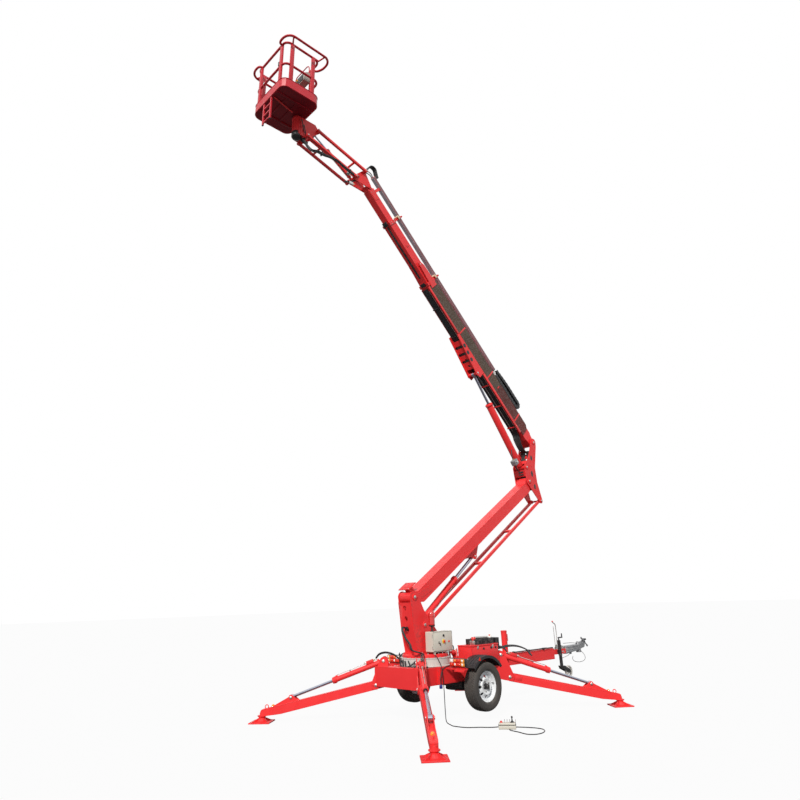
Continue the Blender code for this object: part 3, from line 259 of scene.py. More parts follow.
def finish(name, colour, rough, metal=0.0, shade=None, tone=0.25, dust=0.12, wear=0.0, wearColour=(0.35, 0.33, 0.32),
           grain=220, bump=0.05, roughSpread=0.08, coat=0.0, dustColour=(0.50, 0.46, 0.42), gloss=0.5):
    material = bpy.data.materials.new(name)
    material.use_nodes = True
    tree = material.node_tree
    shader = tree.nodes["Principled BSDF"]
    effect = tree.nodes.new("ShaderNodeGroup")
    effect.node_tree = weathering
    shade = shade or tuple(c * 0.72 for c in colour)
    effect.inputs["Color"].default_value = (*colour, 1)
    effect.inputs["Shade"].default_value = (*shade, 1)
    effect.inputs["Tone"].default_value = tone
    effect.inputs["Dust"].default_value = dust
    effect.inputs["Dust Color"].default_value = (*dustColour, 1)
    effect.inputs["Wear"].default_value = wear
    effect.inputs["Wear Color"].default_value = (*wearColour, 1)
    tree.links.new(effect.outputs["Color"], shader.inputs["Base Color"])
    patches = rangeNode(tree, noiseNode(tree, 9, 4).outputs["Fac"], 0.3, 0.7, rough - roughSpread,
        rough + roughSpread)
    tree.links.new(patches, shader.inputs["Roughness"])
    skin = tree.nodes.new("ShaderNodeGroup")
    skin.node_tree = fineGrain
    skin.inputs["Scale"].default_value = grain
    relief = tree.nodes.new("ShaderNodeBump")
    relief.inputs["Strength"].default_value = bump
    relief.inputs["Distance"].default_value = 0.0006
    tree.links.new(skin.outputs["Height"], relief.inputs["Height"])
    tree.links.new(relief.outputs["Normal"], shader.inputs["Normal"])
    shader.inputs["Metallic"].default_value = metal
    if coat:
        shader.inputs["Coat Weight"].default_value = coat
        shader.inputs["Coat Roughness"].default_value = 0.12
    shader.inputs["Specular IOR Level"].default_value = gloss
    return material


redPaint = finish("redPaint", (0.86, 0.034, 0.036), 0.40, shade=(0.74, 0.022, 0.026), tone=0.4, dust=0.05, wear=0.5,
                  wearColour=(0.42, 0.05, 0.05), bump=0.03, gloss=0.4, dustColour=(0.72, 0.30, 0.27))
redPlate = finish("redPlate", (0.80, 0.030, 0.032), 0.44, shade=(0.66, 0.018, 0.022), tone=0.4, dust=0.08, wear=0.6,
                  wearColour=(0.38, 0.05, 0.05), bump=0.05, gloss=0.35, dustColour=(0.66, 0.28, 0.25))
drumGrey = finish("drumGrey", (0.64, 0.62, 0.58), 0.48, shade=(0.52, 0.50, 0.46), tone=0.6, dust=0.2, wear=0.4)
rimSilver = finish("rimSilver", (0.80, 0.82, 0.84), 0.32, shade=(0.68, 0.70, 0.73), tone=0.3, dust=0.1, wear=0.2,
    coat=0.3)
tyreRubber = finish("tyreRubber", (0.046, 0.042, 0.040), 0.80, shade=(0.075, 0.066, 0.058), tone=0.7, dust=0.5,
    grain=120,
                    bump=0.25, dustColour=(0.22, 0.19, 0.16))
hoseRubber = finish("hoseRubber", (0.018, 0.018, 0.020), 0.52, shade=(0.03, 0.03, 0.032), dust=0.2, grain=300,
    bump=0.1,
                    dustColour=(0.15, 0.14, 0.13))
blackPlastic = finish("blackPlastic", (0.014, 0.014, 0.016), 0.46, shade=(0.024, 0.024, 0.026), dust=0.12, grain=260,
                      bump=0.15, dustColour=(0.10, 0.095, 0.09))
blackPaint = finish("blackPaint", (0.014, 0.014, 0.016), 0.38, shade=(0.028, 0.027, 0.028), dust=0.2, wear=0.5,
                    wearColour=(0.20, 0.19, 0.18), dustColour=(0.18, 0.16, 0.15))
chromeRod = finish("chromeRod", (0.46, 0.47, 0.56), 0.20, metal=1.0, shade=(0.34, 0.35, 0.44), tone=0.5, dust=0.05,
                   bump=0.01, roughSpread=0.05)
zincSteel = finish("zincSteel", (0.62, 0.62, 0.60), 0.38, metal=0.85, shade=(0.45, 0.44, 0.40), tone=0.5, dust=0.15,
    wear=0.3)
castSteel = finish("castSteel", (0.30, 0.31, 0.33), 0.52, metal=0.55, shade=(0.18, 0.18, 0.19), tone=0.6, dust=0.2,
    wear=0.5,
                   wearColour=(0.6, 0.6, 0.6), bump=0.2)
tubeMetal = finish("tubeMetal", (0.60, 0.61, 0.68), 0.30, metal=0.75, shade=(0.46, 0.40, 0.42), tone=0.5, dust=0.08,
    bump=0.02)
boxCream = finish("boxCream", (0.66, 0.63, 0.55), 0.42, shade=(0.55, 0.52, 0.44), tone=0.4, dust=0.15, wear=0.2,
    bump=0.08)
# painted shade and painted reflection: dark olive standing for the shaded side of the upper boom and the ground
# reflected in it
oliveShadeReflection = finish("oliveShadeReflection", (0.105, 0.066, 0.045), 0.55, shade=(0.060, 0.042, 0.030), tone=0.8, dust=0.0,
    wear=0.2, gloss=0.15)
redLens = finish("redLens", (0.75, 0.03, 0.01), 0.12, dust=0.02, tone=0.1, coat=0.6, bump=0.02, roughSpread=0.03)
amberLens = finish("amberLens", (0.85, 0.30, 0.02), 0.12, dust=0.02, tone=0.1, coat=0.6, bump=0.02, roughSpread=0.03)
clearLens = finish("clearLens", (0.86, 0.84, 0.80), 0.10, dust=0.02, tone=0.1, coat=0.6, bump=0.02, roughSpread=0.03)
beaconRed = finish("beaconRed", (0.62, 0.02, 0.02), 0.16, dust=0.04, tone=0.2, coat=0.8, bump=0.02, roughSpread=0.03)
yellowPlate = finish("yellowPlate", (0.85, 0.62, 0.03), 0.40, dust=0.08, tone=0.2)
redKnob = finish("redKnob", (0.70, 0.03, 0.02), 0.30, dust=0.05, tone=0.2, coat=0.3)
plugBlue = finish("plugBlue", (0.02, 0.03, 0.22), 0.40, dust=0.10, tone=0.3)
brassFitting = finish("brassFitting", (0.72, 0.55, 0.28), 0.30, metal=0.9, dust=0.08, tone=0.4)
print("finishes ready")


# Shapes.
def asMesh(fill, smooth=35, merge=True):
    work = bmesh.new()
    fill(work)
    if merge:
        bmesh.ops.remove_doubles(work, verts=work.verts, dist=0.00002)
    bmesh.ops.recalc_face_normals(work, faces=work.faces)
    made = bpy.data.meshes.new("shape")
    work.to_mesh(made)
    work.free()
    made.shade_smooth()
    made.set_sharp_from_angle(angle=math.radians(smooth))
    return made


def softened(work, width, segments=2, angle=30):
    if width:
        limit = math.radians(angle)
        sharp = [e for e in work.edges if len(e.link_faces) == 2 and e.calc_face_angle(0) > limit]
        bmesh.ops.bevel(work, geom=sharp, offset=width, segments=segments, profile=0.5, affect="EDGES",
            clamp_overlap=True)


def boxOf(xs, ys, zs, rounding=0.003):
    def fill(work):
        bmesh.ops.create_cube(work, size=1)
        for v in work.verts:
            v.co = (xs[0] if v.co.x < 0 else xs[1], ys[0] if v.co.y < 0 else ys[1], zs[0] if v.co.z < 0 else zs[1])
        softened(work, rounding)
    return asMesh(fill)


def rodOf(start, end, radius, sides=24, endRadius=None, rounding=0.0):
    start, end = Vector(start), Vector(end)
    turn = (end - start).to_track_quat("Z", "Y").to_matrix().to_4x4()

    def fill(work):
        bmesh.ops.create_cone(work, cap_ends=True, segments=sides, radius1=radius,
                              radius2=radius if endRadius is None else endRadius, depth=(end - start).length)
        softened(work, rounding, 2, 60)
        bmesh.ops.transform(work, verts=work.verts, matrix=Matrix.Translation((start + end) / 2) @ turn)
    return asMesh(fill)


def turnedOf(profile, start=(0, 0, 0), along=(0, 0, 1), steps=40):
    def fill(work):
        ring = [work.verts.new((r, 0, h)) for r, h in profile]
        edges = [work.edges.new((ring[i], ring[i + 1])) for i in range(len(ring) - 1)]
        bmesh.ops.spin(work, geom=ring + edges, cent=(0, 0, 0), axis=(0, 0, 1), angle=math.tau, steps=steps)
        bmesh.ops.remove_doubles(work, verts=work.verts, dist=0.00002)
        turn = Vector(along).to_track_quat("Z", "Y").to_matrix().to_4x4()
        bmesh.ops.transform(work, verts=work.verts, matrix=Matrix.Translation(start) @ turn)
    return asMesh(fill, 40)


def plateOf(outline, side, otherSide, rounding=0.002):
    def fill(work):
        face = work.faces.new([work.verts.new((x, side, z)) for x, z in outline])
        moved = bmesh.ops.extrude_face_region(work, geom=[face])["geom"]
        bmesh.ops.translate(work, verts=[g for g in moved if isinstance(g, bmesh.types.BMVert)],
                            vec=(0, otherSide - side, 0))
        bmesh.ops.recalc_face_normals(work, faces=work.faces)
        softened(work, rounding, 1, 50)
    return asMesh(fill)


def smoothPath(points, steps=8, closed=False):
    points = [Vector(p) for p in points]
    count = len(points)
    path = []
    for i in range(count if closed else count - 1):
        if closed:
            a, b, c, d = (points[(i + k) % count] for k in (-1, 0, 1, 2))
        else:
            a, b, c, d = points[max(i - 1, 0)], points[i], points[i + 1], points[min(i + 2, count - 1)]
        for k in range(steps):
            t = k / steps
            path.append(0.5 * ((2 * b) + (c - a) * t + (2 * a - 5 * b + 4 * c - d) * t * t
                               + (3 * b - a - 3 * c + d) * t ** 3))
    if not closed:
        path.append(points[-1])
    return path


def tubeOf(points, radius, sides=10, closed=False, steps=8, smooth=True, flat=1.0):
    path = smoothPath(points, steps, closed) if smooth else [Vector(p) for p in points]
    count = len(path)

    def fill(work):
        normal = None
        rings = []
        for i, point in enumerate(path):
            ahead = path[(i + 1) % count] if closed else path[min(i + 1, count - 1)]
            behind = path[i - 1] if closed else path[max(i - 1, 0)]
            way = (ahead - behind).normalized()
            if normal is None:
                normal = way.orthogonal().normalized()
            normal = (normal - way * normal.dot(way)).normalized()
            other = way.cross(normal)
            ring = []
            for k in range(sides):
                angle = math.tau * k / sides
                ring.append(work.verts.new(point + (normal * math.cos(angle) * flat + other * math.sin(angle)) * radius))
            rings.append(ring)
        for i in range(count if closed else count - 1):
            near, far = rings[i], rings[(i + 1) % count]
            for k in range(sides):
                work.faces.new((near[k], near[(k + 1) % sides], far[(k + 1) % sides], far[k]))
        if not closed:
            work.faces.new(rings[0])
            work.faces.new(rings[-1])
    return asMesh(fill, 50, merge=False)


def boltOf(place, along, size=0.014, height=0.008):
    place, along = Vector(place), Vector(along).normalized()
    turn = along.to_track_quat("Z", "Y").to_matrix().to_4x4()

    def fill(work):
        bmesh.ops.create_cone(work, cap_ends=True, segments=20, radius1=size * 1.15, radius2=size * 1.1,
            depth=size * 0.2,
                              matrix=Matrix.Translation((0, 0, size * 0.1)))
        bmesh.ops.create_cone(work, cap_ends=True, segments=6, radius1=size * 0.9, radius2=size * 0.82, depth=height,
                              matrix=Matrix.Translation((0, 0, size * 0.2 + height / 2)))
        bmesh.ops.transform(work, verts=work.verts, matrix=Matrix.Translation(place) @ turn)
    return asMesh(fill, merge=False)


def arcOf(centre, radius, start, end, steps=10):
    return [(centre[0] + radius * math.cos(math.radians(start + (end - start) * k / steps)),
             centre[1] + radius * math.sin(math.radians(start + (end - start) * k / steps)))
             for k in range(steps + 1)]


def about(middle, half):
    return middle - half, middle + half


def span(side, near, far):
    return sorted((side * near, side * far))


def ovalOf(x, y, wide, high, count=24):
    angles = [math.tau * k / count for k in range(count)]
    return [(x + wide * math.cos(a), y + high * math.sin(a)) for a in angles]


def roundedOf(xs, ys, radius, steps=6):
    corners = ((xs[1] - radius, ys[1] - radius, 0), (xs[0] + radius, ys[1] - radius, 90),
               (xs[0] + radius, ys[0] + radius, 180), (xs[1] - radius, ys[0] + radius, 270))
    return [p for x, y, a in corners for p in arcOf((x, y), radius, a, a + 90, steps)]


def cutOf(mesh, *cutters):
    holder = bpy.data.objects.new("holder", mesh)
    bpy.context.scene.collection.objects.link(holder)
    helpers = []
    for cutter in cutters:
        helper = bpy.data.objects.new("helper", cutter)
        bpy.context.scene.collection.objects.link(helper)
        change = holder.modifiers.new("cut", "BOOLEAN")
        change.solver = "EXACT"
        change.object = helper
        helpers.append(helper)
    bpy.context.view_layer.update()
    made = bpy.data.meshes.new_from_object(holder.evaluated_get(bpy.context.evaluated_depsgraph_get()))
    for item in [holder] + helpers:
        bpy.data.objects.remove(item)
    made.set_sharp_from_angle(angle=math.radians(35))
    return made


def placed(place, heading=0.0, elevation=0.0):
    turn = Matrix.Rotation(heading, 4, "Z") @ Matrix.Rotation(-elevation, 4, "Y")
    return Matrix.Translation(Vector(place) + shift) @ turn


def piece(name, body, parts, at=None, replaced=(), bevel=0.0):
    work = bmesh.new()
    materials = []
    for mesh, material in parts:
        if material not in materials:
            materials.append(material)
        first = len(work.faces)
        work.from_mesh(mesh)
        work.faces.ensure_lookup_table()
        for face in work.faces[first:]:
            face.material_index = materials.index(material)
    if at is not None:
        work.transform(at)
    else:
        work.transform(Matrix.Translation(shift))
    data = bpy.data.meshes.new(name)
    work.to_mesh(data)
    work.free()
    for material in materials:
        data.materials.append(material)
    made = bpy.data.objects.new(name, data)
    bpy.context.scene.collection.objects.link(made)
    if bevel:
        edge = made.modifiers.new("edges", "BEVEL")
        edge.width = bevel
        edge.segments = 2
        edge.limit_method = "ANGLE"
    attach(made, body)
    if replaced:
        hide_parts(*replaced)
    return made


def dress(name, material, bevel=0.003):
    thing = nodes[name]
    thing.data.materials.clear()
    thing.data.materials.append(material)
    if bevel:
        weld = thing.modifiers.new("weld", "WELD")
        weld.merge_threshold = 0.00005
        edge = thing.modifiers.new("edges", "BEVEL")
        edge.width = bevel
        edge.segments = 2
        edge.limit_method = "ANGLE"
        edge.angle_limit = math.radians(40)
        edge.use_clamp_overlap = True
        edge.harden_normals = True


# Pendant cable, lying on the floor.
cable = {
    "radius": 0.006,
    "lying": 0.0063,
    "top": 0.8757,
    "drop": ((-0.585, -0.347, 0), (-0.585, -0.347, -0.007), (-0.586, -0.362, -0.018), (-0.588, -0.40, -0.041)),
    "hang": ((-0.59, -0.455, 0.76), (-0.585, -0.48, 0.68), (-0.56, -0.475, 0.45), (-0.54, -0.46, 0.20),
             (-0.535, -0.458, 0.10), (-0.538, -0.468, 0.035), (-0.548, -0.495, 0.0123), (-0.565, -0.53, 0.0063)),
    "floor": ((-0.60, -0.60), (-0.655, -0.71), (-0.65, -0.83), (-0.625, -0.93), (-0.56, -1.01), (-0.49, -1.08),
              (-0.44, -1.16), (-0.38, -1.22), (-0.30, -1.27), (-0.245, -1.35), (-0.19, -1.44), (-0.14, -1.53),
              (-0.10, -1.62), (-0.075, -1.72), (-0.085, -1.82), (-0.16, -1.91), (-0.29, -1.965), (-0.41, -1.955),
              (-0.475, -1.88), (-0.47, -1.79), (-0.44, -1.70), (-0.425, -1.61), (-0.408, -1.535),
              (-0.3841, -1.4983), (-0.3602, -1.4803)),
}


def makeCable():
    line = [Vector((x, y, cable["top"] + z)) for x, y, z in cable["drop"]] + [Vector(p) for p in cable["hang"]]
    line += [Vector((x, y, cable["lying"])) for x, y in cable["floor"]]
    tube = piece("pendantCable", "chassis", [(tubeOf(line, cable["radius"], 10, steps=6), hoseRubber)],
                 replaced=("pendant_cable",))


makeCable()

# Finishes on the pieces that stay.
corners = ("rear_left", "rear_right", "front_left", "front_right")
keptFinish = {
    "chassis_frame": redPlate, "axle": blackPaint, "drawbar": redPaint, "boom_rest": redPlate,
    "compartment": redPaint,
    "pedestal": drumGrey, "turntable": redPlate, "mast": redPaint, "lower_boom": redPaint, "levelling_rods": redPaint,
    "lower_lift_barrel": redPaint, "lower_lift_rod": chromeRod, "knuckle": redPlate, "upper_boom": redPaint,
    "upper_lift_barrel": redPaint, "upper_lift_rod": chromeRod, "mid_section": redPaint, "fly_section": redPaint,
    "cable_tube": tubeMetal, "jib_bracket": redPlate, "jib_upper_arm": redPaint, "jib_lower_arm": redPaint,
    "jib_barrel": redPaint, "jib_rod": chromeRod, "jib_head": redPlate, "platform": redPaint,
    "mudguard_left": blackPlastic, "mudguard_right": blackPlastic, "power_unit": blackPaint,
    "under_housing": blackPlastic, "coupling": castSteel, "handbrake_lever": zincSteel, "jockey_stem": blackPaint,
    "jockey_wheel": drumGrey, "pendant": boxCream, "control_box": boxCream, "energy_chain": blackPlastic,
    "beacon": beaconRed,
    "platform_controls": boxCream, "lamp_left": redLens,
    "lamp_right": redLens, "tyre_left": tyreRubber, "tyre_right": tyreRubber, "rim_left": rimSilver,
    "rim_right": rimSilver,
}
for corner in corners:
    keptFinish["leg_" + corner] = redPaint
    keptFinish["outrigger_" + corner + "_barrel"] = redPaint
    keptFinish["outrigger_" + corner + "_rod"] = chromeRod
fineEdge = {"cable_tube": 0.004, "platform": 0.0015, "lamp_left": 0.002, "lamp_right": 0.002,
            "tyre_left": 0, "tyre_right": 0, "beacon": 0}
for name, material in keptFinish.items():
    dress(name, material, fineEdge.get(name, 0.003))
print("kept pieces dressed", len(keptFinish))

# Wheels.
wheel = {
    "x": 0.0, "z": 0.435, "y": 0.755, "radius": 0.325, "halfWidth": 0.1125, "bead": 0.203,
    "grooves": (0.024, 0.060), "grooveHalf": 0.0048, "depth": 0.0090, "blocks": 64,
    "holes": 8, "holeRing": 0.128, "holeRadius": 0.021,
}


def treadDepth(turn, y):
    wave = 0.0022 * math.sin(turn * wheel["blocks"] * 0.5)
    for groove in wheel["grooves"]:
        if abs(abs(y) - groove - wave) < wheel["grooveHalf"]:
            return wheel["depth"]
    across = abs(y)
    slant = turn * wheel["blocks"] / math.tau + (across * 14 if y > 0 else -across * 14) + (0.5 if y > 0 else 0)
    share = slant % 1.0
    if across > wheel["grooves"][1] and share < 0.22:
        return wheel["depth"] * 0.85
    if wheel["grooves"][0] < across < wheel["grooves"][1] and share < 0.13:
        return wheel["depth"] * 0.6
    if across < wheel["grooves"][0] and share < 0.08:
        return wheel["depth"] * 0.35
    return 0.0


def makeTyre(name, side):
    half, top = wheel["halfWidth"], wheel["radius"]
    tread = [i / 34 * 2 - 1 for i in range(35)]
    outside = [(wheel["bead"] + 0.0005, -half * 0.72), (0.212, -half * 0.84), (0.222, -half * 0.90),
        (0.226, -half * 0.93),
               (0.230, -half * 0.93), (0.234, -half * 0.96), (0.250, -half * 0.985), (0.268, -half), (0.281, -half),
               (0.284, -half * 0.985), (0.291, -half * 0.985), (0.294, -half * 0.97), (0.302, -half * 0.95),
               (0.310, -half * 0.91)]
    turns = 384

    def fill(work):
        rings = []
        for step in range(turns):
            turn = math.tau * step / turns
            section = [(r, y, 0.0) for r, y in outside]
            for t in tread:
                y = t * half * 0.84
                crown = top - 0.011 * abs(t) ** 4
                cut = treadDepth(turn, y) if abs(t) < 0.995 else 0.0
                section.append((crown - cut, y, 0.0))
            section += [(r, -y, 0.0) for r, y in reversed(outside)]
            rings.append([work.verts.new((r * math.cos(turn), y, r * math.sin(turn))) for r, y, _ in section])
        for step in range(turns):
            near, far = rings[step], rings[(step + 1) % turns]
            for k in range(len(near)):
                after = (k + 1) % len(near)
                work.faces.new((near[k], near[after], far[after], far[k]))
    place = placed((wheel["x"], side * wheel["y"], wheel["z"]))
    piece("tyre" + name, "wheel_" + name.lower(), [(asMesh(fill, 28, merge=False), tyreRubber)], place,
          replaced=("tyre_" + name.lower(),))


def makeRim(name, side):
    half, bead = wheel["halfWidth"], wheel["bead"]
    wall = 0.006
    barrel = [(bead, -half * 0.72), (bead, -half * 0.66), (bead - 0.010, -half * 0.62), (bead - 0.012, -half * 0.50),
              (bead - 0.030, -half * 0.40), (bead - 0.030, half * 0.10), (bead - 0.013, half * 0.42),
              (bead - 0.012, half * 0.60), (bead, half * 0.66), (bead, half * 0.72)]
    inner = [(r - wall, y * 0.97) for r, y in reversed(barrel)]
    ring = barrel + inner + [barrel[0]]
    disc = [(0.0, half * 0.40), (0.052, half * 0.40), (0.060, half * 0.44), (0.092, half * 0.62),
        (0.106, half * 0.62),
            (0.118, half * 0.52), (0.140, half * 0.30), (0.158, half * 0.16), (0.172, half * 0.14),
            (0.174, half * 0.05),
            (0.158, half * 0.07), (0.140, half * 0.20), (0.118, half * 0.42), (0.106, half * 0.52),
            (0.092, half * 0.52),
            (0.060, half * 0.34), (0.0, half * 0.30)]
    toY = Matrix.Rotation(math.radians(-90 * side), 4, "X")
    holes = []
    for k in range(wheel["holes"]):
        turn = math.tau * k / wheel["holes"]
        middle = (wheel["holeRing"] * math.cos(turn), wheel["holeRing"] * math.sin(turn))
        holes.append(rodOf((*middle, -0.03), (*middle, 0.08), wheel["holeRadius"], 24))
    pressed = cutOf(turnedOf(disc, steps=64), *holes)
    parts = [(turnedOf(ring, steps=96), rimSilver), (pressed, rimSilver)]
    cap = [(0.0, half * 0.95), (0.026, half * 0.94), (0.033, half * 0.86), (0.034, half * 0.5), (0.042, half * 0.46),
           (0.042, half * 0.40), (0.0, half * 0.40)]
    parts.append((turnedOf(cap, steps=32), blackPaint))
    for k in range(5):
        turn = math.tau * (k + 0.5) / 5
        parts.append((boltOf((0.068 * math.cos(turn), 0.068 * math.sin(turn), half * 0.50), (0, 0, 1), 0.011, 0.016),
            zincSteel))
    parts.append((rodOf((bead * 0.86, 0.03, half * 0.05), (bead * 0.80, 0.03, half * 0.62), 0.0042, 12), hoseRubber))
    drum = [(0.0, -half * 0.75), (0.115, -half * 0.75), (0.128, -half * 0.62), (0.128, -half * 0.05), (0.0, 0.0)]
    parts.append((turnedOf(drum, steps=48), castSteel))
    place = placed((wheel["x"], side * wheel["y"], wheel["z"])) @ toY
    if side > 0:
        place = place @ Matrix.Rotation(math.pi, 4, "Z")
    piece("rim" + name, "wheel_" + name.lower(), parts, place, replaced=("rim_" + name.lower(),))


for wheelName, wheelSide in (("Left", 1), ("Right", -1)):
    makeTyre(wheelName, wheelSide)
    makeRim(wheelName, wheelSide)
print("wheels ready")

# Mudguards and lamps.
guard = {"radius": 0.41, "inner": 0.62, "width": 0.26, "turn": 118}
lampBox = {"x": -0.49, "y": 0.705, "z": 0.78, "half": 0.150, "height": 0.055, "depth": 0.048}


def makeGuardDetails(name, side):
    parts = []
    turn = math.radians(guard["turn"])
    outer = side * (guard["inner"] + guard["width"])
    for deg in (60, 118):
        a = math.radians(deg)
        spot = Vector((math.cos(a) * (guard["radius"] + 0.001), side * (guard["inner"] + 0.03),
            0.435 + math.sin(a) * (guard["radius"] + 0.001)))
        parts.append((boltOf(spot, (math.cos(a), 0, math.sin(a)), 0.009, 0.005), zincSteel))
    rib = [(math.cos(math.radians(d)) * guard["radius"], 0, 0.435 + math.sin(math.radians(d)) * guard["radius"])
        for d in range(40, 140, 5)]
    for share in (0.28, 0.5, 0.72):
        y = side * (guard["inner"] + guard["width"] * share)
        parts.append((tubeOf([(x, y, z) for x, _, z in rib], 0.005, 8), blackPlastic))
    piece("guardFittings" + name, "chassis", parts)
    middle = Vector((math.cos(turn) * (guard["radius"] - 0.006), outer + side * 0.0035,
        0.435 + math.sin(turn) * (guard["radius"] - 0.006)))
    tri = [(0.045 * math.cos(math.radians(a)), 0.045 * math.sin(math.radians(a))) for a in (90, 210, 330)]
    outline = [(middle.x + x, middle.z + z + 0.012) for x, z in tri]
    inside = [(middle.x + x * 0.72, middle.z + z * 0.72 + 0.012) for x, z in tri]
    marks = [(plateOf(outline, middle.y, middle.y + side * 0.003, 0.001), blackPlastic),
             (plateOf(inside, middle.y + side * 0.003, middle.y + side * 0.006, 0.001), redLens)]
    for k in range(5):
        z = inside[1][1] + 0.008 + k * 0.009
        reach = 0.026 * (1 - k / 6)
        marks.append((boxOf((middle.x - reach, middle.x + reach),
            (middle.y + side * 0.006 - 0.0006, middle.y + side * 0.006 + 0.0006),
                            (z, z + 0.002), 0.0004), redLens))
    piece("guardReflector" + name, "chassis", marks)


def makeLamp(name, side):
    x, y, z, half, high = (lampBox[k] for k in ("x", "y", "z", "half", "height"))
    y *= side
    parts = [(boxOf((x + 0.002, x + 0.040), about(y, half), about(z, high), 0.008), blackPlastic)]
    columns = 4
    width = 2 * (half - 0.006) / columns
    for c in range(columns):
        low = y - half + 0.006 + c * width
        outerness = (c if side > 0 else columns - 1 - c)
        lens = (clearLens, redLens, redLens, amberLens)[outerness]
        for row in range(2):
            bottom = z - high + 0.006 + row * (high - 0.006)
            if outerness == 0 and row == 0:
                lens = redLens
            elif outerness == 0:
                lens = clearLens
            cell = (low + 0.001, low + width - 0.001), (bottom + 0.001, bottom + high - 0.007)
            parts.append((boxOf((x - 0.014, x + 0.004), *cell, 0.006), lens))
            middleY, middleZ = sum(cell[0]) / 2, sum(cell[1]) / 2
            dome = [(0.0, 0.007), (0.008, 0.0062), (0.014, 0.0035), (0.017, 0.0), (0.0, 0.0)]
            glow = (amberLens if outerness < 3 and row else clearLens) if outerness in (1, 3) else lens
            parts.append((turnedOf(dome, (x - 0.014, middleY, middleZ), (-1, 0, 0), 24), glow))
            for k in range(5):
                ridge = cell[1][0] + 0.006 + k * (cell[1][1] - cell[1][0] - 0.012) / 4
                parts.append((boxOf((x - 0.0152, x - 0.0138), (cell[0][0] + 0.004, cell[0][1] - 0.004),
                    about(ridge, 0.0008), 0.0005), lens))
    for k in (-1, 1):
        parts.append((rodOf((x - 0.016, y + k * (half - 0.012), z), (x - 0.010, y + k * (half - 0.012), z), 0.004,
            12), zincSteel))
    piece("lamp" + name, "chassis", parts, replaced=("lamp_" + name.lower(),))
    carrier = [(boxOf((x + 0.02, x + 0.05), (y - half * 0.8, y + half * 0.8), (0.7003, z - high - 0.001), 0.002),
        redPlate)]
    step = asMesh(lambda work: sloped(work, x, y, side), 30)
    carrier.append((step, redPaint))
    for k in (-1, 1):
        carrier.append((boltOf((x - 0.002, y + side * 0.02 + k * 0.05, 0.690), (-0.3, 0, 1), 0.008, 0.005),
            zincSteel))
    carrier.append((tubeOf([(x + 0.042, y - side * 0.03, z - 0.02), (x + 0.10, y - side * 0.06, z - 0.05),
        (x + 0.16, y - side * 0.14, 0.73),
                            (x + 0.18, y - side * 0.24, 0.725)], 0.006, 8), hoseRubber))
    piece("lampCarrier" + name, "chassis", carrier)


def sloped(work, x, y, side):
    near, far = y - side * 0.04, y + side * 0.150
    outline = [(x + 0.05, 0.7005), (x - 0.01, 0.692), (x - 0.035, 0.676), (x - 0.035, 0.662), (x - 0.030, 0.662),
               (x - 0.030, 0.674), (x - 0.008, 0.686), (x + 0.05, 0.694)]
    face = work.faces.new([work.verts.new((px, near, pz)) for px, pz in outline])
    moved = bmesh.ops.extrude_face_region(work, geom=[face])["geom"]
    bmesh.ops.translate(work, verts=[g for g in moved if isinstance(g, bmesh.types.BMVert)], vec=(0, far - near, 0))


for lampName, lampSide in (("Left", 1), ("Right", -1)):
    makeGuardDetails(lampName, lampSide)
    makeLamp(lampName, lampSide)
print("lamps and guards ready")

# Outriggers.
leg = {
    "drop": math.radians(11.5), "length": 1.82, "height": 0.12, "width": 0.10, "eye": (1.332, 0.123),
    "base": (-0.12, 0.32), "barrel": 0.83, "radius": 0.038, "pad": 1.78, "hingeZ": 0.475,
    "corners": (("RearLeft", "rear_left", -1.03, 0.50, 130.7), ("RearRight", "rear_right", -1.03, -0.50, -130.7),
                ("FrontLeft", "front_left", 0.84, 0.59, 38.1), ("FrontRight", "front_right", 0.84, -0.59, -38.1)),
}


def cylinderFittings(length, radius, pipeSide, barrelEnd):
    parts = [(turnedOf([(radius + 0.0005, -0.006), (radius + 0.006, -0.004), (radius + 0.006, 0.004),
        (radius + 0.0005, 0.006)],
                       (0.075, 0, 0), (1, 0, 0), 32), redPaint)]
    parts.append((turnedOf([(radius + 0.007, 0.0), (radius + 0.010, 0.003), (radius + 0.010, 0.030),
        (radius + 0.007, 0.034)],
                           (length - 0.045, 0, 0), (1, 0, 0), 32), redPaint))
    seal = [(barrelEnd + 0.0015, 0.0), (radius * 0.82, 0.0), (radius * 0.80, 0.006), (barrelEnd + 0.004, 0.008),
        (barrelEnd + 0.0015, 0.008)]
    parts.append((turnedOf(seal, (length + 0.0125, 0, 0), (1, 0, 0), 32), blackPlastic))
    rise = radius + 0.013
    line = [(0.10, 0, rise), (0.14, 0, rise + 0.004), (length * 0.5, 0, rise + 0.004),
        (length - 0.11, 0, rise + 0.004), (length - 0.07, 0, rise),
            (length - 0.06, 0, radius - 0.002)]
    parts.append((tubeOf([(x, y * pipeSide, z * pipeSide) for x, y, z in line], 0.005, 10, steps=5), zincSteel))
    for place in (0.085, length - 0.06):
        parts.append((boxOf(about(place, 0.015), (-0.014, 0.014),
                            sorted((pipeSide * (radius - 0.006), pipeSide * (radius + 0.017))), 0.003), redPaint))
    for place in (length * 0.33, length * 0.66):
        parts.append((boxOf(about(place, 0.009), (-0.011, 0.011),
            sorted((pipeSide * (radius - 0.004), pipeSide * (radius + 0.008))), 0.002), blackPaint))
    return parts


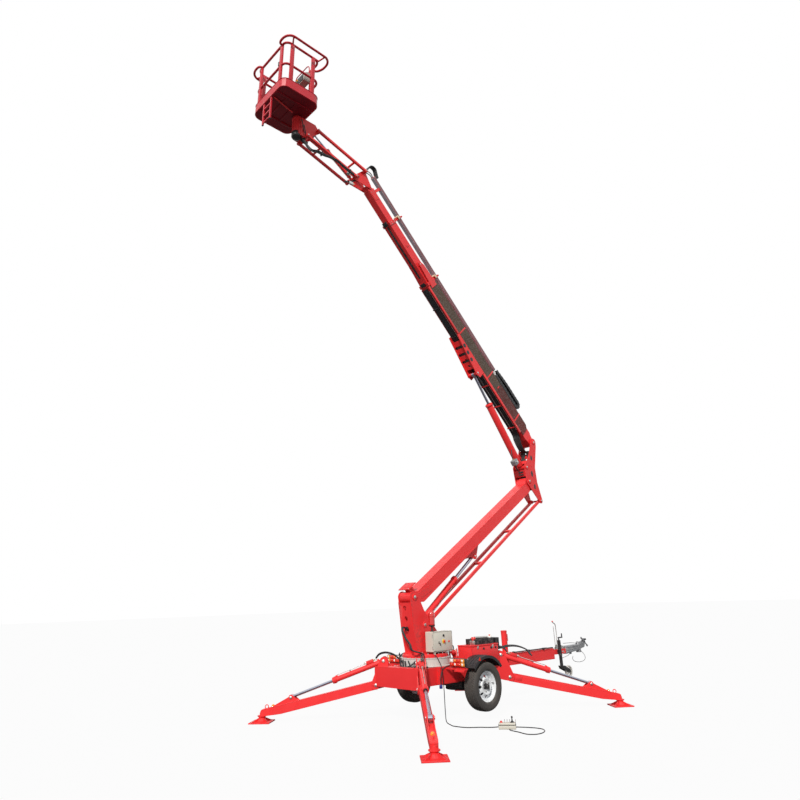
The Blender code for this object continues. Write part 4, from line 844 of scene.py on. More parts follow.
def makeLegDetails(name, corner, x, y, deg):
    heading = math.radians(deg)
    hinge = Vector((x, y, leg["hingeZ"]))
    legPlace = placed(hinge, heading, -leg["drop"])
    half, wide = leg["height"] / 2, leg["width"] / 2
    eyeAlong, eyeRise = leg["eye"]
    parts = []
    for side in (-1, 1):
        parts.append((turnedOf([(0.0, 0.008), (0.015, 0.007), (0.019, 0.004), (0.019, 0.0), (0.0, 0.0)],
                               (eyeAlong, side * 0.0535, eyeRise), (0, side, 0), 28), zincSteel))
        gusset = [(eyeAlong + 0.05, half - 0.004), (eyeAlong + 0.04, eyeRise - 0.03), (eyeAlong + 0.10, half + 0.028),
            (eyeAlong + 0.34, half - 0.004)]
        parts.append((plateOf(gusset, side * 0.034, side * 0.042), redPaint))
        seam = [(0.05, side * wide, half - 0.004), (leg["length"] - 0.03, side * wide, half - 0.004)]
        parts.append((tubeOf(seam, 0.003, 6, smooth=False), redPaint))
    cap = [(leg["length"] - 0.001, -half + 0.036), (leg["length"] + 0.006, -half + 0.036),
        (leg["length"] + 0.006, half - 0.014), (leg["length"] - 0.001, half - 0.014)]
    parts.append((plateOf(cap, -wide + 0.006, wide - 0.006), redPlate))
    light = [(0.0, 0.030), (0.014, 0.027), (0.022, 0.018), (0.024, 0.006), (0.030, 0.005), (0.030, 0.0), (0.0, 0.0)]
    parts.append((turnedOf(light, (eyeAlong + 0.30, 0, half), (0, 0, 1), 32), amberLens))
    hoop = [(eyeAlong + 0.40 + 0.026 * math.cos(a), 0, half + 0.018 + 0.026 * math.sin(a))
        for a in [math.tau * k / 20 for k in range(20)]]
    parts += [
        (tubeOf(hoop, 0.006, 10, closed=True, steps=2), redPaint),
        (boxOf((0.10, 0.20), (-wide - 0.003, -wide), (-half * 0.5, half * 0.5), 0.002), redPlate)]
    piece("legDetails" + name, "leg_" + corner, parts, legPlace)

    footPlace = placed(hinge, heading, 0)
    sole = -leg["hingeZ"]
    cone = [(0.0, 0.0135), (0.088, 0.0145), (0.088, 0.020), (0.052, 0.030), (0.050, 0.072), (0.070, 0.084),
        (0.070, 0.094), (0.040, 0.100), (0.0, 0.100)]
    foot = [(turnedOf(cone, (leg["pad"], 0, sole), (0, 0, 1), 40), redPlate)]
    lip = [(leg["pad"] + a * 0.156, b * 0.156, sole + 0.012) for a, b in ((-1, -1), (1, -1), (1, 1), (-1, 1))]
    foot.append((tubeOf(lip, 0.005, 8, closed=True, steps=1, smooth=False), redPlate))
    for a, b in ((-1, -1), (1, -1), (1, 1), (-1, 1)):
        web = asMesh(lambda work, a=a, b=b: webFill(work, a, b, sole), 30)
        foot.append((web, redPlate))
    piece("foot" + name, "leg_" + corner, foot, footPlace)

    outward = Vector((math.cos(heading), math.sin(heading), 0))
    base = hinge + outward * leg["base"][0] + Vector((0, 0, leg["base"][1]))
    drop = leg["drop"]
    eye = hinge + outward * (eyeAlong * math.cos(drop) + eyeRise * math.sin(drop))
    eye.z += -eyeAlong * math.sin(drop) + eyeRise * math.cos(drop)
    reach = eye - base
    elevation = math.atan2(reach.z, math.hypot(reach.x, reach.y))
    barrelPlace = placed(base, heading, elevation)
    fittings = cylinderFittings(leg["barrel"], leg["radius"], 1, 0.021)
    fittings += [
        (boxOf((0.16, 0.27), (-0.030, 0.030), (leg["radius"] - 0.004, leg["radius"] + 0.045), 0.004), redPlate),
        (rodOf((0.27, 0, leg["radius"] + 0.024), (0.31, 0, leg["radius"] + 0.024), 0.014, 20, rounding=0.002),
        zincSteel),
        (rodOf((0.13, 0.012, leg["radius"] + 0.022), (0.16, 0.012, leg["radius"] + 0.022), 0.010, 6), brassFitting),
        (rodOf((0.13, -0.012, leg["radius"] + 0.022), (0.16, -0.012, leg["radius"] + 0.022), 0.010, 6), brassFitting)]
    piece("barrelFittings" + name, "leg_barrel_" + corner, fittings, barrelPlace)

    bracket = []
    inner = wide + 0.005 + 0.014
    for side in (-1, 1):
        for bx, bz in ((0, 0), leg["base"]):
            head = [(0.0, 0.014), (0.018, 0.013), (0.024, 0.008), (0.025, 0.0), (0.0, 0.0)]
            bracket += [
                (turnedOf(head, (bx, side * (inner - 0.001), bz), (0, side, 0), 32), zincSteel),
                (boxOf((bx + 0.024, bx + 0.052), sorted((side * inner, side * (inner + 0.005))), about(bz, 0.012),
                0.002), redPlate)]
    hose = [(0.02, 0.012, 0.355), (-0.04, 0.014, 0.415), (-0.15, 0.03, 0.435), (-0.28, 0.05, 0.40),
        (-0.38, 0.06, 0.32), (-0.44, 0.06, 0.26)]
    for shiftY in (-0.012, 0.012):
        bracket.append((tubeOf([(px - abs(shiftY), py + shiftY, pz + shiftY * 0.6) for px, py, pz in hose], 0.0085,
            10), hoseRubber))
    piece("hingeDetails" + name, "chassis", bracket, placed(hinge, heading, 0))


def webFill(work, a, b, sole):
    n = Vector((a, b, 0)).normalized()
    side = Vector((-n.y, n.x, 0)) * 0.004
    base = Vector((leg["pad"], 0, sole + 0.0135))
    outline = [base + n * 0.045, base + n * 0.17, base + n * 0.165 + Vector((0, 0, 0.006)),
        base + n * 0.050 + Vector((0, 0, 0.055))]
    near = [work.verts.new(p - side) for p in outline]
    far = [work.verts.new(p + side) for p in outline]
    work.faces.new(near)
    work.faces.new(list(reversed(far)))
    for k in range(4):
        work.faces.new((near[k], far[k], far[(k + 1) % 4], near[(k + 1) % 4]))


for legName, legCorner, legX, legY, legTurn in leg["corners"]:
    makeLegDetails(legName, legCorner, legX, legY, legTurn)
print("outriggers ready")

mastStand = {
    "slew": (-0.45, 0.0), "ringTop": 0.885, "boltRing": 0.333, "drumBolts": 0.373, "drumTop": 0.8355,
    "head": (-0.785, 1.685), "lift": (-0.576, 1.285), "level": (-0.45, 1.315), "half": 0.142,
    "hose": ((-0.80, 0.0, 1.22), (-0.90, -0.005, 1.262), (-0.935, -0.02, 1.215), (-0.92, -0.072, 1.114),
    (-0.905, -0.145, 1.032),
             (-0.89, -0.175, 0.951), (-0.80, -0.235, 0.915), (-0.72, -0.20, 0.897)),
    "loops": (((-0.835, 0.10, 0.80), (-0.885, 0.04, 0.70), (-0.895, -0.07, 0.665), (-0.865, -0.19, 0.73),
    (-0.80, -0.24, 0.79)),
              ((-0.838, 0.05, 0.79), (-0.90, -0.03, 0.725), (-0.90, -0.14, 0.66), (-0.87, -0.25, 0.655),
              (-0.80, -0.33, 0.725)),
              ((-0.836, -0.02, 0.795), (-0.875, -0.10, 0.745), (-0.885, -0.20, 0.70), (-0.845, -0.31, 0.705),
              (-0.77, -0.37, 0.73)),
              ((-0.83, 0.16, 0.79), (-0.87, 0.12, 0.735), (-0.885, 0.01, 0.715), (-0.87, -0.12, 0.75),
              (-0.825, -0.16, 0.80))),
}


def pinCap(spot, side, radius=0.020):
    return turnedOf([(0.0, 0.008), (radius * 0.8, 0.007), (radius, 0.003), (radius, 0.0), (0.0, 0.0)], spot,
        (0, side, 0), 24)


# Mast.
def makeMastDetails():
    x, y = mastStand["slew"]
    half = mastStand["half"]
    parts, drum = [], []
    for k in range(24):
        a = math.tau * (k + 0.5) / 24
        bx, by = math.cos(a) * mastStand["boltRing"], math.sin(a) * mastStand["boltRing"]
        if not (abs(bx) < 0.345 and abs(by) < 0.19):
            parts.append((boltOf((x + bx, y + by, mastStand["ringTop"]), (0, 0, 1), 0.0105, 0.009), zincSteel))
        drum.append((boltOf((x + math.cos(a) * mastStand["drumBolts"], math.sin(a) * mastStand["drumBolts"],
            mastStand["drumTop"]),
                            (0, 0, 1), 0.009, 0.008), castSteel))
    for side in (-1, 1):
        hx, hz = mastStand["head"]
        parts += [
            (pinCap((hx, side * (half + 0.0155), hz), side, 0.024), zincSteel),
            (boxOf((hx + 0.030, hx + 0.075), sorted((side * half, side * (half + 0.006))), about(hz, 0.014), 0.002),
            redPlate)]
        for (px, pz), r in ((mastStand["lift"], 0.044), (mastStand["level"], 0.034)):
            parts += [
                (turnedOf([(0.0, 0.010), (r * 0.9, 0.009), (r, 0.005), (r, 0.0), (0.0, 0.0)],
                (px, side * (half - 0.001), pz), (0, side, 0), 32), redPaint),
                (pinCap((px, side * (half + 0.0085), pz), side, r * 0.5), zincSteel)]
        foot = [(x - 0.28, 0.902), (x + 0.27, 0.902), (x + 0.24, 0.93), (x - 0.27, 0.93)]
        parts.append((plateOf(foot, side * (half - 0.001), side * (half + 0.010)), redPlate))
        seam = [(x - 0.295, side * half, 0.91), (x - 0.362, side * half, 1.20), (-0.868, side * half, 1.62)]
        parts.append((tubeOf(seam, 0.003, 6, smooth=False), redPaint))
        for by in (0.165,):
            for bx in (-0.23, -0.08, 0.08, 0.23):
                parts.append((boltOf((x + bx, side * by, 0.902), (0, 0, 1), 0.008, 0.008), zincSteel))
    piece("mastDetails", "turntable", parts)
    drum += [
        (turnedOf([(0.386, 0.7165), (0.398, 0.7165), (0.398, 0.726), (0.386, 0.730)], (x, 0, 0), (0, 0, 1), 64),
        drumGrey),
        (turnedOf([(0.3855, 0.822), (0.391, 0.824), (0.391, 0.833), (0.3855, 0.8352)], (x, 0, 0), (0, 0, 1), 64),
        drumGrey)]
    piece("drumDetails", "chassis", drum)
    lines = [(tubeOf(mastStand["hose"], 0.011, 12), hoseRubber)]
    lines += [
        (tubeOf([(px + 0.006, py + 0.03, pz + 0.002) for px, py, pz in mastStand["hose"]], 0.009, 12), hoseRubber),
        (turnedOf([(0.026, -0.006), (0.033, 0.0), (0.033, 0.010), (0.026, 0.012)], (-0.835, 0.0, 1.235),
        (-0.98, 0, 0.2), 32), blackPlastic)]
    piece("mastHoses", "turntable", lines)
    loops = [(tubeOf(line, 0.011, 12), hoseRubber) for line in mastStand["loops"]]
    for line in mastStand["loops"]:
        loops.append((rodOf(line[0], Vector(line[0]) + Vector((0.03, 0.004, 0.006)), 0.014, 6), zincSteel))
    piece("drumHoses", "chassis", loops)


makeMastDetails()
print("mast ready")

# Control box on the turntable.
groundBox = {
    "xs": (-0.63, -0.20), "zs": (0.91, 1.19), "face": -0.36,
    "knob": (-0.402, 1.13), "stop": (-0.404, 1.048), "small": (-0.284, 1.044),
    "switches": ((-0.505, 1.035), (-0.478, 1.012)),
    "beacon": (-0.54, -0.26),
}


def makeGroundBox():
    x0, x1 = groundBox["xs"]
    z0, z1 = groundBox["zs"]
    y = groundBox["face"]
    parts = [(boxOf((x0 + 0.012, x1 - 0.012), (y - 0.006, y + 0.004), (z0 + 0.014, z1 - 0.014), 0.003), boxCream)]
    rim = [(x0 + 0.006, 0, z0 + 0.008), (x1 - 0.006, 0, z0 + 0.008), (x1 - 0.006, 0, z1 - 0.008),
        (x0 + 0.006, 0, z1 - 0.008)]
    parts.append((tubeOf([(px, y + 0.002, pz) for px, _, pz in rim], 0.0035, 8, closed=True, steps=1, smooth=False),
        blackPlastic))
    front = y - 0.006
    kx, kz = groundBox["knob"]
    parts.append((turnedOf([(0.0, 0.016), (0.010, 0.016), (0.012, 0.013), (0.012, 0.004), (0.018, 0.003),
        (0.018, 0.0)], (kx, front, kz), (0, -1, 0), 28), blackPlastic))
    sx, sz = groundBox["stop"]
    parts += [
        (turnedOf([(0.0, 0.003), (0.030, 0.003), (0.031, 0.0)], (sx, front, sz), (0, -1, 0), 36), yellowPlate),
        (turnedOf([(0.0, 0.030), (0.014, 0.029), (0.019, 0.024), (0.019, 0.017), (0.011, 0.013), (0.011, 0.003)],
        (sx, front, sz), (0, -1, 0), 32), redKnob)]
    rx, rz = groundBox["small"]
    parts.append((turnedOf([(0.0, 0.012), (0.009, 0.011), (0.012, 0.007), (0.012, 0.003), (0.016, 0.0)],
        (rx, front, rz), (0, -1, 0), 28), redKnob))
    for wx, wz in groundBox["switches"]:
        parts += [
            (boxOf(about(wx, 0.011), (front - 0.004, front + 0.001), about(wz, 0.016), 0.002), blackPlastic),
            (rodOf((wx, front - 0.003, wz), (wx, front - 0.021, wz - 0.007), 0.0035, 10), zincSteel)]
    for px in (x0 + 0.022, x1 - 0.022):
        for pz in (z0 + 0.024, z1 - 0.024):
            parts.append((turnedOf([(0.0, 0.003), (0.005, 0.0025), (0.006, 0.0)], (px, front, pz), (0, -1, 0), 14),
                zincSteel))
    for pz in (z0 + 0.06, z1 - 0.06):
        parts.append((rodOf((x0 - 0.003, y + 0.010, pz - 0.022), (x0 - 0.003, y + 0.010, pz + 0.022), 0.006, 14),
            zincSteel))
    parts.append((boxOf((x1 - 0.001, x1 + 0.008), (y + 0.006, y + 0.022), (1.03, 1.07), 0.002), zincSteel))
    for px in (-0.56, -0.50, -0.44, -0.37):
        parts += [
            (rodOf((px, -0.30, z0 - 0.02), (px, -0.30, z0 + 0.002), 0.011, 12), blackPlastic),
            (tubeOf([(px, -0.30, z0 - 0.018), (px, -0.29, z0 - 0.03), (px * 0.6 - 0.18, -0.25, 0.897)], 0.006, 8),
            hoseRubber)]
    piece("groundBoxDetails", "turntable", parts)
    bx, by = groundBox["beacon"]
    base = [(0.0, 1.1904), (0.034, 1.1904), (0.034, 1.197), (0.012, 1.200), (0.012, 1.255), (0.046, 1.262),
        (0.050, 1.268), (0.050, 1.278), (0.0, 1.278)]
    lens = [(0.0, 1.279), (0.0465, 1.279), (0.0475, 1.290)]
    for k in range(7):
        lens += [(0.0485, 1.300 + k * 0.0135), (0.0468, 1.306 + k * 0.0135)]
    lens += [(0.048, 1.396), (0.0515, 1.398), (0.0515, 1.404), (0.049, 1.440), (0.040, 1.470), (0.022, 1.487),
        (0.0, 1.4895)]
    turned = [(turnedOf(base, (bx, by, 0), (0, 0, 1), 36), blackPlastic),
        (turnedOf(lens, (bx, by, 0), (0, 0, 1), 48), beaconRed)]
    piece("beaconLight", "turntable", turned, replaced=("beacon",))


makeGroundBox()
print("ground box ready")

gear = {
    "compartment": ((-0.04, 0.60), (-0.61, -0.32), (0.7153, 0.97)),
    "knobs": ((0.24, 0.917), (0.42, 0.922), (0.535, 0.92)),
    "tube": ((0.20, -0.47, 1.068), (0.50, -0.47, 1.062)),
    "tankCap": (0.14, -0.50), "filler": (0.585, -0.46, 1.068),
    "cabinet": ((0.61, 0.70), (-0.56, -0.30), (0.875, 1.05)),
    "feed": ((0.70, -0.50, 0.90), (0.80, -0.50, 0.885), (1.00, -0.52, 0.90), (1.18, -0.57, 0.885),
    (1.29, -0.66, 0.83), (1.30, -0.74, 0.745)),
    "feedTwo": ((0.70, -0.42, 0.905), (0.86, -0.36, 0.89), (1.05, -0.22, 0.84), (1.25, -0.105, 0.765),
    (1.60, -0.10, 0.752), (2.30, -0.095, 0.752), (2.86, -0.09, 0.75)),
    "restX": 1.54,
}


def makeGear():
    (x0, x1), (y0, y1), (z0, z1) = gear["compartment"]
    parts = [(boxOf((x0 - 0.006, x1 + 0.006), about(y0, 0.006), (z1 - 0.016, z1 + 0.003), 0.002), redPaint),
             (boxOf(about(x0, 0.006), (y0, y1), (z1 - 0.016, z1 + 0.003), 0.002), redPaint),
             (boxOf(about(x1, 0.006), (y0, y1), (z1 - 0.016, z1 + 0.003), 0.002), redPaint),
             (boxOf((x0 + 0.02, x1 - 0.02), (y0 - 0.003, y0 + 0.002), (z0 + 0.02, z1 - 0.03), 0.002), redPaint),
             (boxOf((x0 - 0.003, x0 + 0.002), (y0 + 0.02, y1 - 0.02), (z0 + 0.02, z1 - 0.03), 0.002), redPaint)]
    for kx, kz in gear["knobs"]:
        parts.append((turnedOf([(0.0, 0.012), (0.013, 0.011), (0.016, 0.006), (0.016, 0.0)], (kx, y0 - 0.003, kz),
            (0, -1, 0), 24), blackPlastic))
    for lx in (x0 + 0.14, x1 - 0.14):
        parts += [
            (boxOf(about(lx, 0.018), (y0 - 0.009, y0 - 0.002), (z1 - 0.055, z1 - 0.012), 0.002), zincSteel),
            (rodOf((lx - 0.018, y0 - 0.009, z1 - 0.014), (lx + 0.018, y0 - 0.009, z1 - 0.014), 0.005, 12), zincSteel)]
    piece("compartmentDetails", "chassis", parts)

    (cx0, cx1), (cy0, _), (cz0, _) = gear["cabinet"]
    unit = [(rodOf(*gear["tube"], 0.016, 20), zincSteel)]
    for k in range(9):
        fx = 0.225 + k * 0.030
        unit += [
            (boxOf(about(fx, 0.003), (-0.555, -0.36), (1.048, 1.058), 0.001), blackPaint),
            (boxOf(about(fx, 0.003), (-0.5665, -0.5595), (0.985, 1.040), 0.001), blackPaint)]
    tx, ty = gear["tankCap"]
    unit += [
        (boxOf(about(tx, 0.045), about(ty, 0.045), (0.9705, 1.030), 0.006), zincSteel),
        (turnedOf([(0.0, 1.082), (0.030, 1.080), (0.036, 1.072), (0.036, 1.046), (0.030, 1.040), (0.026, 1.030),
        (0.0, 1.030)], (tx, ty, 0), (0, 0, 1), 28), redKnob)]
    fx, fy, fz = gear["filler"]
    unit += [
        (turnedOf([(0.0, 0.022), (0.020, 0.020), (0.034, 0.010), (0.037, 0.0), (0.034, -0.012), (0.0, -0.014)],
        (fx, fy, fz), (-0.45, -0.45, 0.75), 32), clearLens),
        (turnedOf([(0.0, 0.024), (0.014, 0.0235), (0.015, 0.019)], (fx, fy, fz), (-0.45, -0.45, 0.75), 24), redKnob),
        (boxOf(about(fx, 0.02), about(fy, 0.03), (1.0395, 1.062), 0.004), zincSteel)]
    for k in range(7):
        vz = cz0 + 0.03 + k * 0.019
        unit.append((boxOf((cx0 + 0.012, cx1 - 0.012), (cy0 - 0.003, cy0 + 0.001), (vz, vz + 0.006), 0.001),
            blackPlastic))
    for sy in (-0.50, -0.43, -0.36):
        unit.append((turnedOf([(0.0, 0.012), (0.012, 0.011), (0.014, 0.0)], (cx1, sy, 1.01), (1, 0, 0), 20),
            blackPlastic))
    piece("powerUnitDetails", "chassis", unit)

    hoses = [(tubeOf(gear["feed"], 0.0115, 12), hoseRubber),
        (tubeOf([(x, y + 0.03, z + 0.012) for x, y, z in gear["feed"]], 0.009, 12), hoseRubber),
             (tubeOf(gear["feedTwo"], 0.010, 12), hoseRubber)]
    for x in (1.65, 2.10, 2.55):
        hoses.append((boxOf(about(x, 0.012), (-0.115, -0.078), (0.7345, 0.766), 0.003), blackPlastic))
    hoses += [
        (tubeOf([(-0.10, -0.40, 0.722), (-0.30, -0.44, 0.725), (-0.52, -0.455, 0.70), (-0.60, -0.465, 0.60),
        (-0.607, -0.462, 0.49)], 0.007, 10), hoseRubber),
        (turnedOf([(0.0, 0.0), (0.020, 0.0), (0.024, 0.006), (0.024, 0.040), (0.018, 0.052), (0.0, 0.052)],
        (-0.608, -0.462, 0.440), (0.02, 0, 1), 28), plugBlue)]
    piece("deckHoses", "chassis", hoses)

    rx = gear["restX"]
    rest = [(turnedOf([(0.0, 1.104), (0.046, 1.103), (0.0545, 1.098), (0.0545, 1.080), (0.052, 1.078)], (rx, 0, 0),
        (0, 0, 1), 40), redPlate),
            (tubeOf([(rx + 0.0535 * math.cos(a), 0.0535 * math.sin(a), 0.757)
            for a in [math.tau * k / 24 for k in range(24)]], 0.004, 8, closed=True, steps=1), redPaint)]
    for sx in (-1, 1):
        for sy in (-1, 1):
            rest.append((boltOf((rx + sx * 0.058, sy * 0.063, 0.7555), (0, 0, 1), 0.008, 0.007), zincSteel))
    rest.append((pinCap((rx + 0.063, -0.0152, 0.985), -1, 0.010), zincSteel))
    piece("boomRestDetails", "chassis", rest)
    deck = []
    for dx in (-0.52, -0.25, 0.05, 0.35):
        deck.append((boltOf((dx, 0.40, 0.7155), (0, 0, 1), 0.010, 0.008), zincSteel))
    for side in (-1, 1):
        for z in (0.505, 0.70):
            deck.append((tubeOf([(-0.60, side * 0.4505, z), (0.62, side * 0.4505, z)], 0.0035, 6, smooth=False),
                redPlate))
        deck.append((tubeOf([(-1.02, side * 0.505, 0.545), (-1.02, side * 0.505, 0.40)], 0.003, 6, smooth=False),
            redPlate))
    for k in range(4):
        deck.append((rodOf((0.32 + 0.20 * math.cos(k * 1.57 + 0.4), 0.20 * math.sin(k * 1.57 + 0.4), 0.322),
                           (0.32 + 0.20 * math.cos(k * 1.57 + 0.4), 0.20 * math.sin(k * 1.57 + 0.4), 0.331), 0.010,
                           6), zincSteel))
    deck += [
        (turnedOf([(0.0, 0.318), (0.11, 0.318), (0.13, 0.324), (0.235, 0.327), (0.241, 0.336), (0.241, 0.350),
        (0.2402, 0.352)], (0.32, 0, 0), (0, 0, 1), 64), blackPlastic),
        (boxOf((-0.40, 0.52), (-0.20, -0.12), (0.468, 0.4897), 0.004), blackPaint),
        (tubeOf([(-0.9, 0.20, 0.50), (-0.6, 0.18, 0.476), (0.0, 0.17, 0.478), (0.10, 0.14, 0.47)], 0.009, 10),
        hoseRubber),
        (tubeOf([(-0.9, -0.26, 0.50), (-0.6, -0.25, 0.476), (0.0, -0.22, 0.478), (0.08, -0.10, 0.47)], 0.009, 10),
        hoseRubber)]
    piece("deckDetails", "chassis", deck)


makeGear()
print("deck gear ready")

tow = {
    "lever": ((3.155, 0.0, 0.735), (3.150, 0.0, 0.84), (3.162, 0.0, 0.97), (3.160, 0.0, 1.11), (3.135, 0.0, 1.145),
    (3.100, 0.0, 1.158)),
    "knob": (3.077, 0.0, 1.178), "second": ((3.082, 0.0, 0.735), (3.086, 0.0, 1.098)),
    "cable": ((3.35, 0.0, 0.79), (3.43, -0.005, 0.788), (3.60, -0.01, 0.785), (3.75, -0.012, 0.77),
    (3.90, -0.02, 0.745)),
    "ringMiddle": (3.845, 0.545), "ringSize": (0.205, 0.112),
    "wheelX": 3.31, "wheelY": -0.08, "wheelZ": 0.32, "wheelRadius": 0.10, "stemX": 3.10,
}


def makeTow():
    parts = [(tubeOf(tow["lever"], 0.0085, 12), zincSteel), (tubeOf(tow["second"], 0.006, 10, smooth=False),
        zincSteel)]
    parts += [
        (rodOf((3.100, 0, 1.158), (3.088, 0, 1.168), 0.009, 16), blackPlastic),
        (turnedOf([(0.0, 0.022), (0.012, 0.020), (0.016, 0.010), (0.012, 0.0), (0.0, -0.002)], tow["knob"],
        (-0.5, 0, 0.85), 28), redKnob)]
    for side in (-1, 1):
        parts.append((plateOf([(3.06, 0.7004), (3.35, 0.7004), (3.34, 0.745), (3.21, 0.775), (3.14, 0.785),
            (3.07, 0.735)], side * 0.0145, side * 0.0195), zincSteel))
    parts += [
        (rodOf((3.165, -0.026, 0.755), (3.165, 0.026, 0.755), 0.010, 16), zincSteel),
        (rodOf((3.32, -0.026, 0.727), (3.32, 0.026, 0.727), 0.009, 16), zincSteel)]
    piece("handbrake", "chassis", parts, replaced=("handbrake_lever",))

    head = [(plateOf([(3.3603, 0.605), (3.60, 0.628), (3.80, 0.640), (3.86, 0.66), (3.86, 0.735), (3.78, 0.748),
        (3.3603, 0.742)], -0.046, 0.046, 0.006), castSteel)]
    for side in (-1, 1):
        head += [
            (plateOf([(3.38, 0.622), (3.62, 0.640), (3.62, 0.655), (3.38, 0.640)], side * 0.045, side * 0.052, 0.002),
            castSteel),
            (plateOf([(3.38, 0.710), (3.74, 0.722), (3.74, 0.736), (3.38, 0.728)], side * 0.045, side * 0.052, 0.002),
            castSteel),
            (boltOf((3.43, side * 0.046, 0.675), (0, side, 0), 0.012, 0.010), zincSteel),
            (boltOf((3.57, side * 0.046, 0.685), (0, side, 0), 0.012, 0.010), zincSteel),
            (plateOf([(3.82, 0.655), (4.03, 0.685), (4.08, 0.76), (4.02, 0.79), (3.86, 0.745)], side * 0.030,
            side * 0.042, 0.004), castSteel)]
    head += [
        (turnedOf([(0.0, 0.795), (0.020, 0.793), (0.034, 0.776), (0.046, 0.742), (0.049, 0.690), (0.0495, 0.604),
        (0.043, 0.604), (0.040, 0.66), (0.0, 0.70)], (3.862, 0, 0), (0, 0, 1), 44), castSteel),
        (tubeOf([(3.93, 0, 0.74), (4.00, 0, 0.785), (4.07, 0, 0.815), (4.118, 0, 0.812)], 0.015, 14), castSteel),
        (rodOf((4.07, -0.042, 0.782), (4.07, 0.042, 0.782), 0.019, 20, rounding=0.004), blackPlastic),
        (rodOf((4.108, -0.046, 0.820), (4.108, 0.046, 0.820), 0.016, 20, rounding=0.004), blackPlastic),
        (tubeOf([(3.985, -0.02, 0.850), (4.03, -0.02, 0.815), (4.10, -0.02, 0.765), (4.168, -0.02, 0.706)], 0.012,
        14), castSteel)]
    for end, way in (((3.985, -0.02, 0.850), (-0.8, 0, 0.6)), ((4.168, -0.02, 0.706), (0.75, 0, -0.65))):
        head.append((turnedOf([(0.0, 0.016), (0.015, 0.013), (0.019, 0.0), (0.015, -0.016), (0.0, -0.018)], end, way,
            24), castSteel))
    piece("couplingHead", "chassis", head, replaced=("coupling",))

    mx, mz = tow["ringMiddle"]
    rx, rz = tow["ringSize"]
    ring = [(mx + rx * math.cos(a), 0.035 * math.sin(a * 2), mz + rz * math.sin(a))
        for a in [math.radians(d) for d in range(72, -190, -14)]]
    cord = [(tubeOf(tow["cable"], 0.004, 8), hoseRubber), (tubeOf(ring, 0.0042, 8), hoseRubber)]
    cord += [
        (tubeOf([(3.155, -0.02, 0.535), (3.30, -0.02, 0.553), (3.45, -0.015, 0.575), (3.56, 0.0, 0.604)], 0.005, 8),
        zincSteel),
        (boxOf((3.545, 3.585), (-0.016, 0.016), (0.590, 0.636), 0.004), castSteel)]
    piece("breakawayCable", "chassis", cord)

    x, y, z = tow["wheelX"], tow["wheelY"], tow["wheelZ"]
    r = tow["wheelRadius"]
    wheelParts = [(turnedOf([(0.0095, -0.028), (0.022, -0.028), (0.024, -0.012), (0.024, 0.012), (0.022, 0.028),
        (0.0095, 0.028), (0.0095, -0.028)], (0, 0, 0), (0, 1, 0), 36), drumGrey)]
    rimOutline = [(r - 0.024, -0.022), (r - 0.006, -0.024), (r - 0.001, -0.016), (r, 0.0), (r - 0.001, 0.016),
        (r - 0.006, 0.024), (r - 0.024, 0.022), (r - 0.020, 0.0), (r - 0.024, -0.022)]
    wheelParts.append((turnedOf(rimOutline, (0, 0, 0), (0, 1, 0), 56), drumGrey))
    for k in range(6):
        a = math.tau * k / 6
        wheelParts.append((rodOf((0.020 * math.cos(a), 0, 0.020 * math.sin(a)),
            ((r - 0.020) * math.cos(a), 0, (r - 0.020) * math.sin(a)), 0.0065, 12), drumGrey))
    piece("jockeyWheel", "jockey_wheel", wheelParts, placed((x, y, z)), replaced=("jockey_wheel",))

    sx = tow["stemX"]
    stem = [(turnedOf([(0.0308, 0.60), (0.036, 0.602), (0.036, 0.63), (0.0308, 0.632)], (sx, y, 0), (0, 0, 1), 28),
        blackPaint),
            (turnedOf([(0.0308, 0.69), (0.036, 0.692), (0.036, 0.72), (0.0308, 0.722)], (sx, y, 0), (0, 0, 1), 28),
            blackPaint),
            (turnedOf([(0.0, 0.0), (0.009, 0.0), (0.011, 0.008), (0.011, 0.055), (0.0, 0.062)],
            (sx + 0.115, y, 0.915), (0, 0, 1), 20), blackPlastic),
            (rodOf((sx, -0.125, 0.665), (sx, -0.165, 0.665), 0.006, 12), zincSteel),
            (rodOf((sx, -0.163, 0.642), (sx, -0.163, 0.688), 0.005, 12), zincSteel)]
    stem += [(boltOf((x, y + side * 0.0492, z), (0, side, 0), 0.010, 0.008), zincSteel) for side in (-1, 1)]
    piece("jockeyFittings", "chassis", stem)
    bar = []
    for side in (-1, 1):
        for bz in (0.575, 0.715):
            bar.append((tubeOf([(1.10, side * 0.0855, bz if bz > 0.6 else 0.50), (1.45, side * 0.0855, bz),
                (2.88, side * 0.0855, bz)], 0.003, 6, smooth=False), redPaint))
        for bx in (2.925, 3.25):
            bar.append((boltOf((bx, side * 0.040, 0.66), (0, side, 0), 0.011, 0.010), zincSteel))
    bar += [
        (boxOf((2.895, 2.905), (-0.080, 0.080), (0.560, 0.730), 0.002), redPlate),
        (boxOf((1.70, 1.78), (-0.05, 0.05), (0.7355, 0.742), 0.002), redPlate),
        (tubeOf([(2.60, 0.05, 0.739), (2.85, 0.05, 0.742), (3.00, 0.03, 0.706), (3.30, 0.02, 0.706)], 0.006, 8),
        hoseRubber)]
    piece("drawbarDetails", "chassis", bar)


makeTow()
print("towing gear ready")

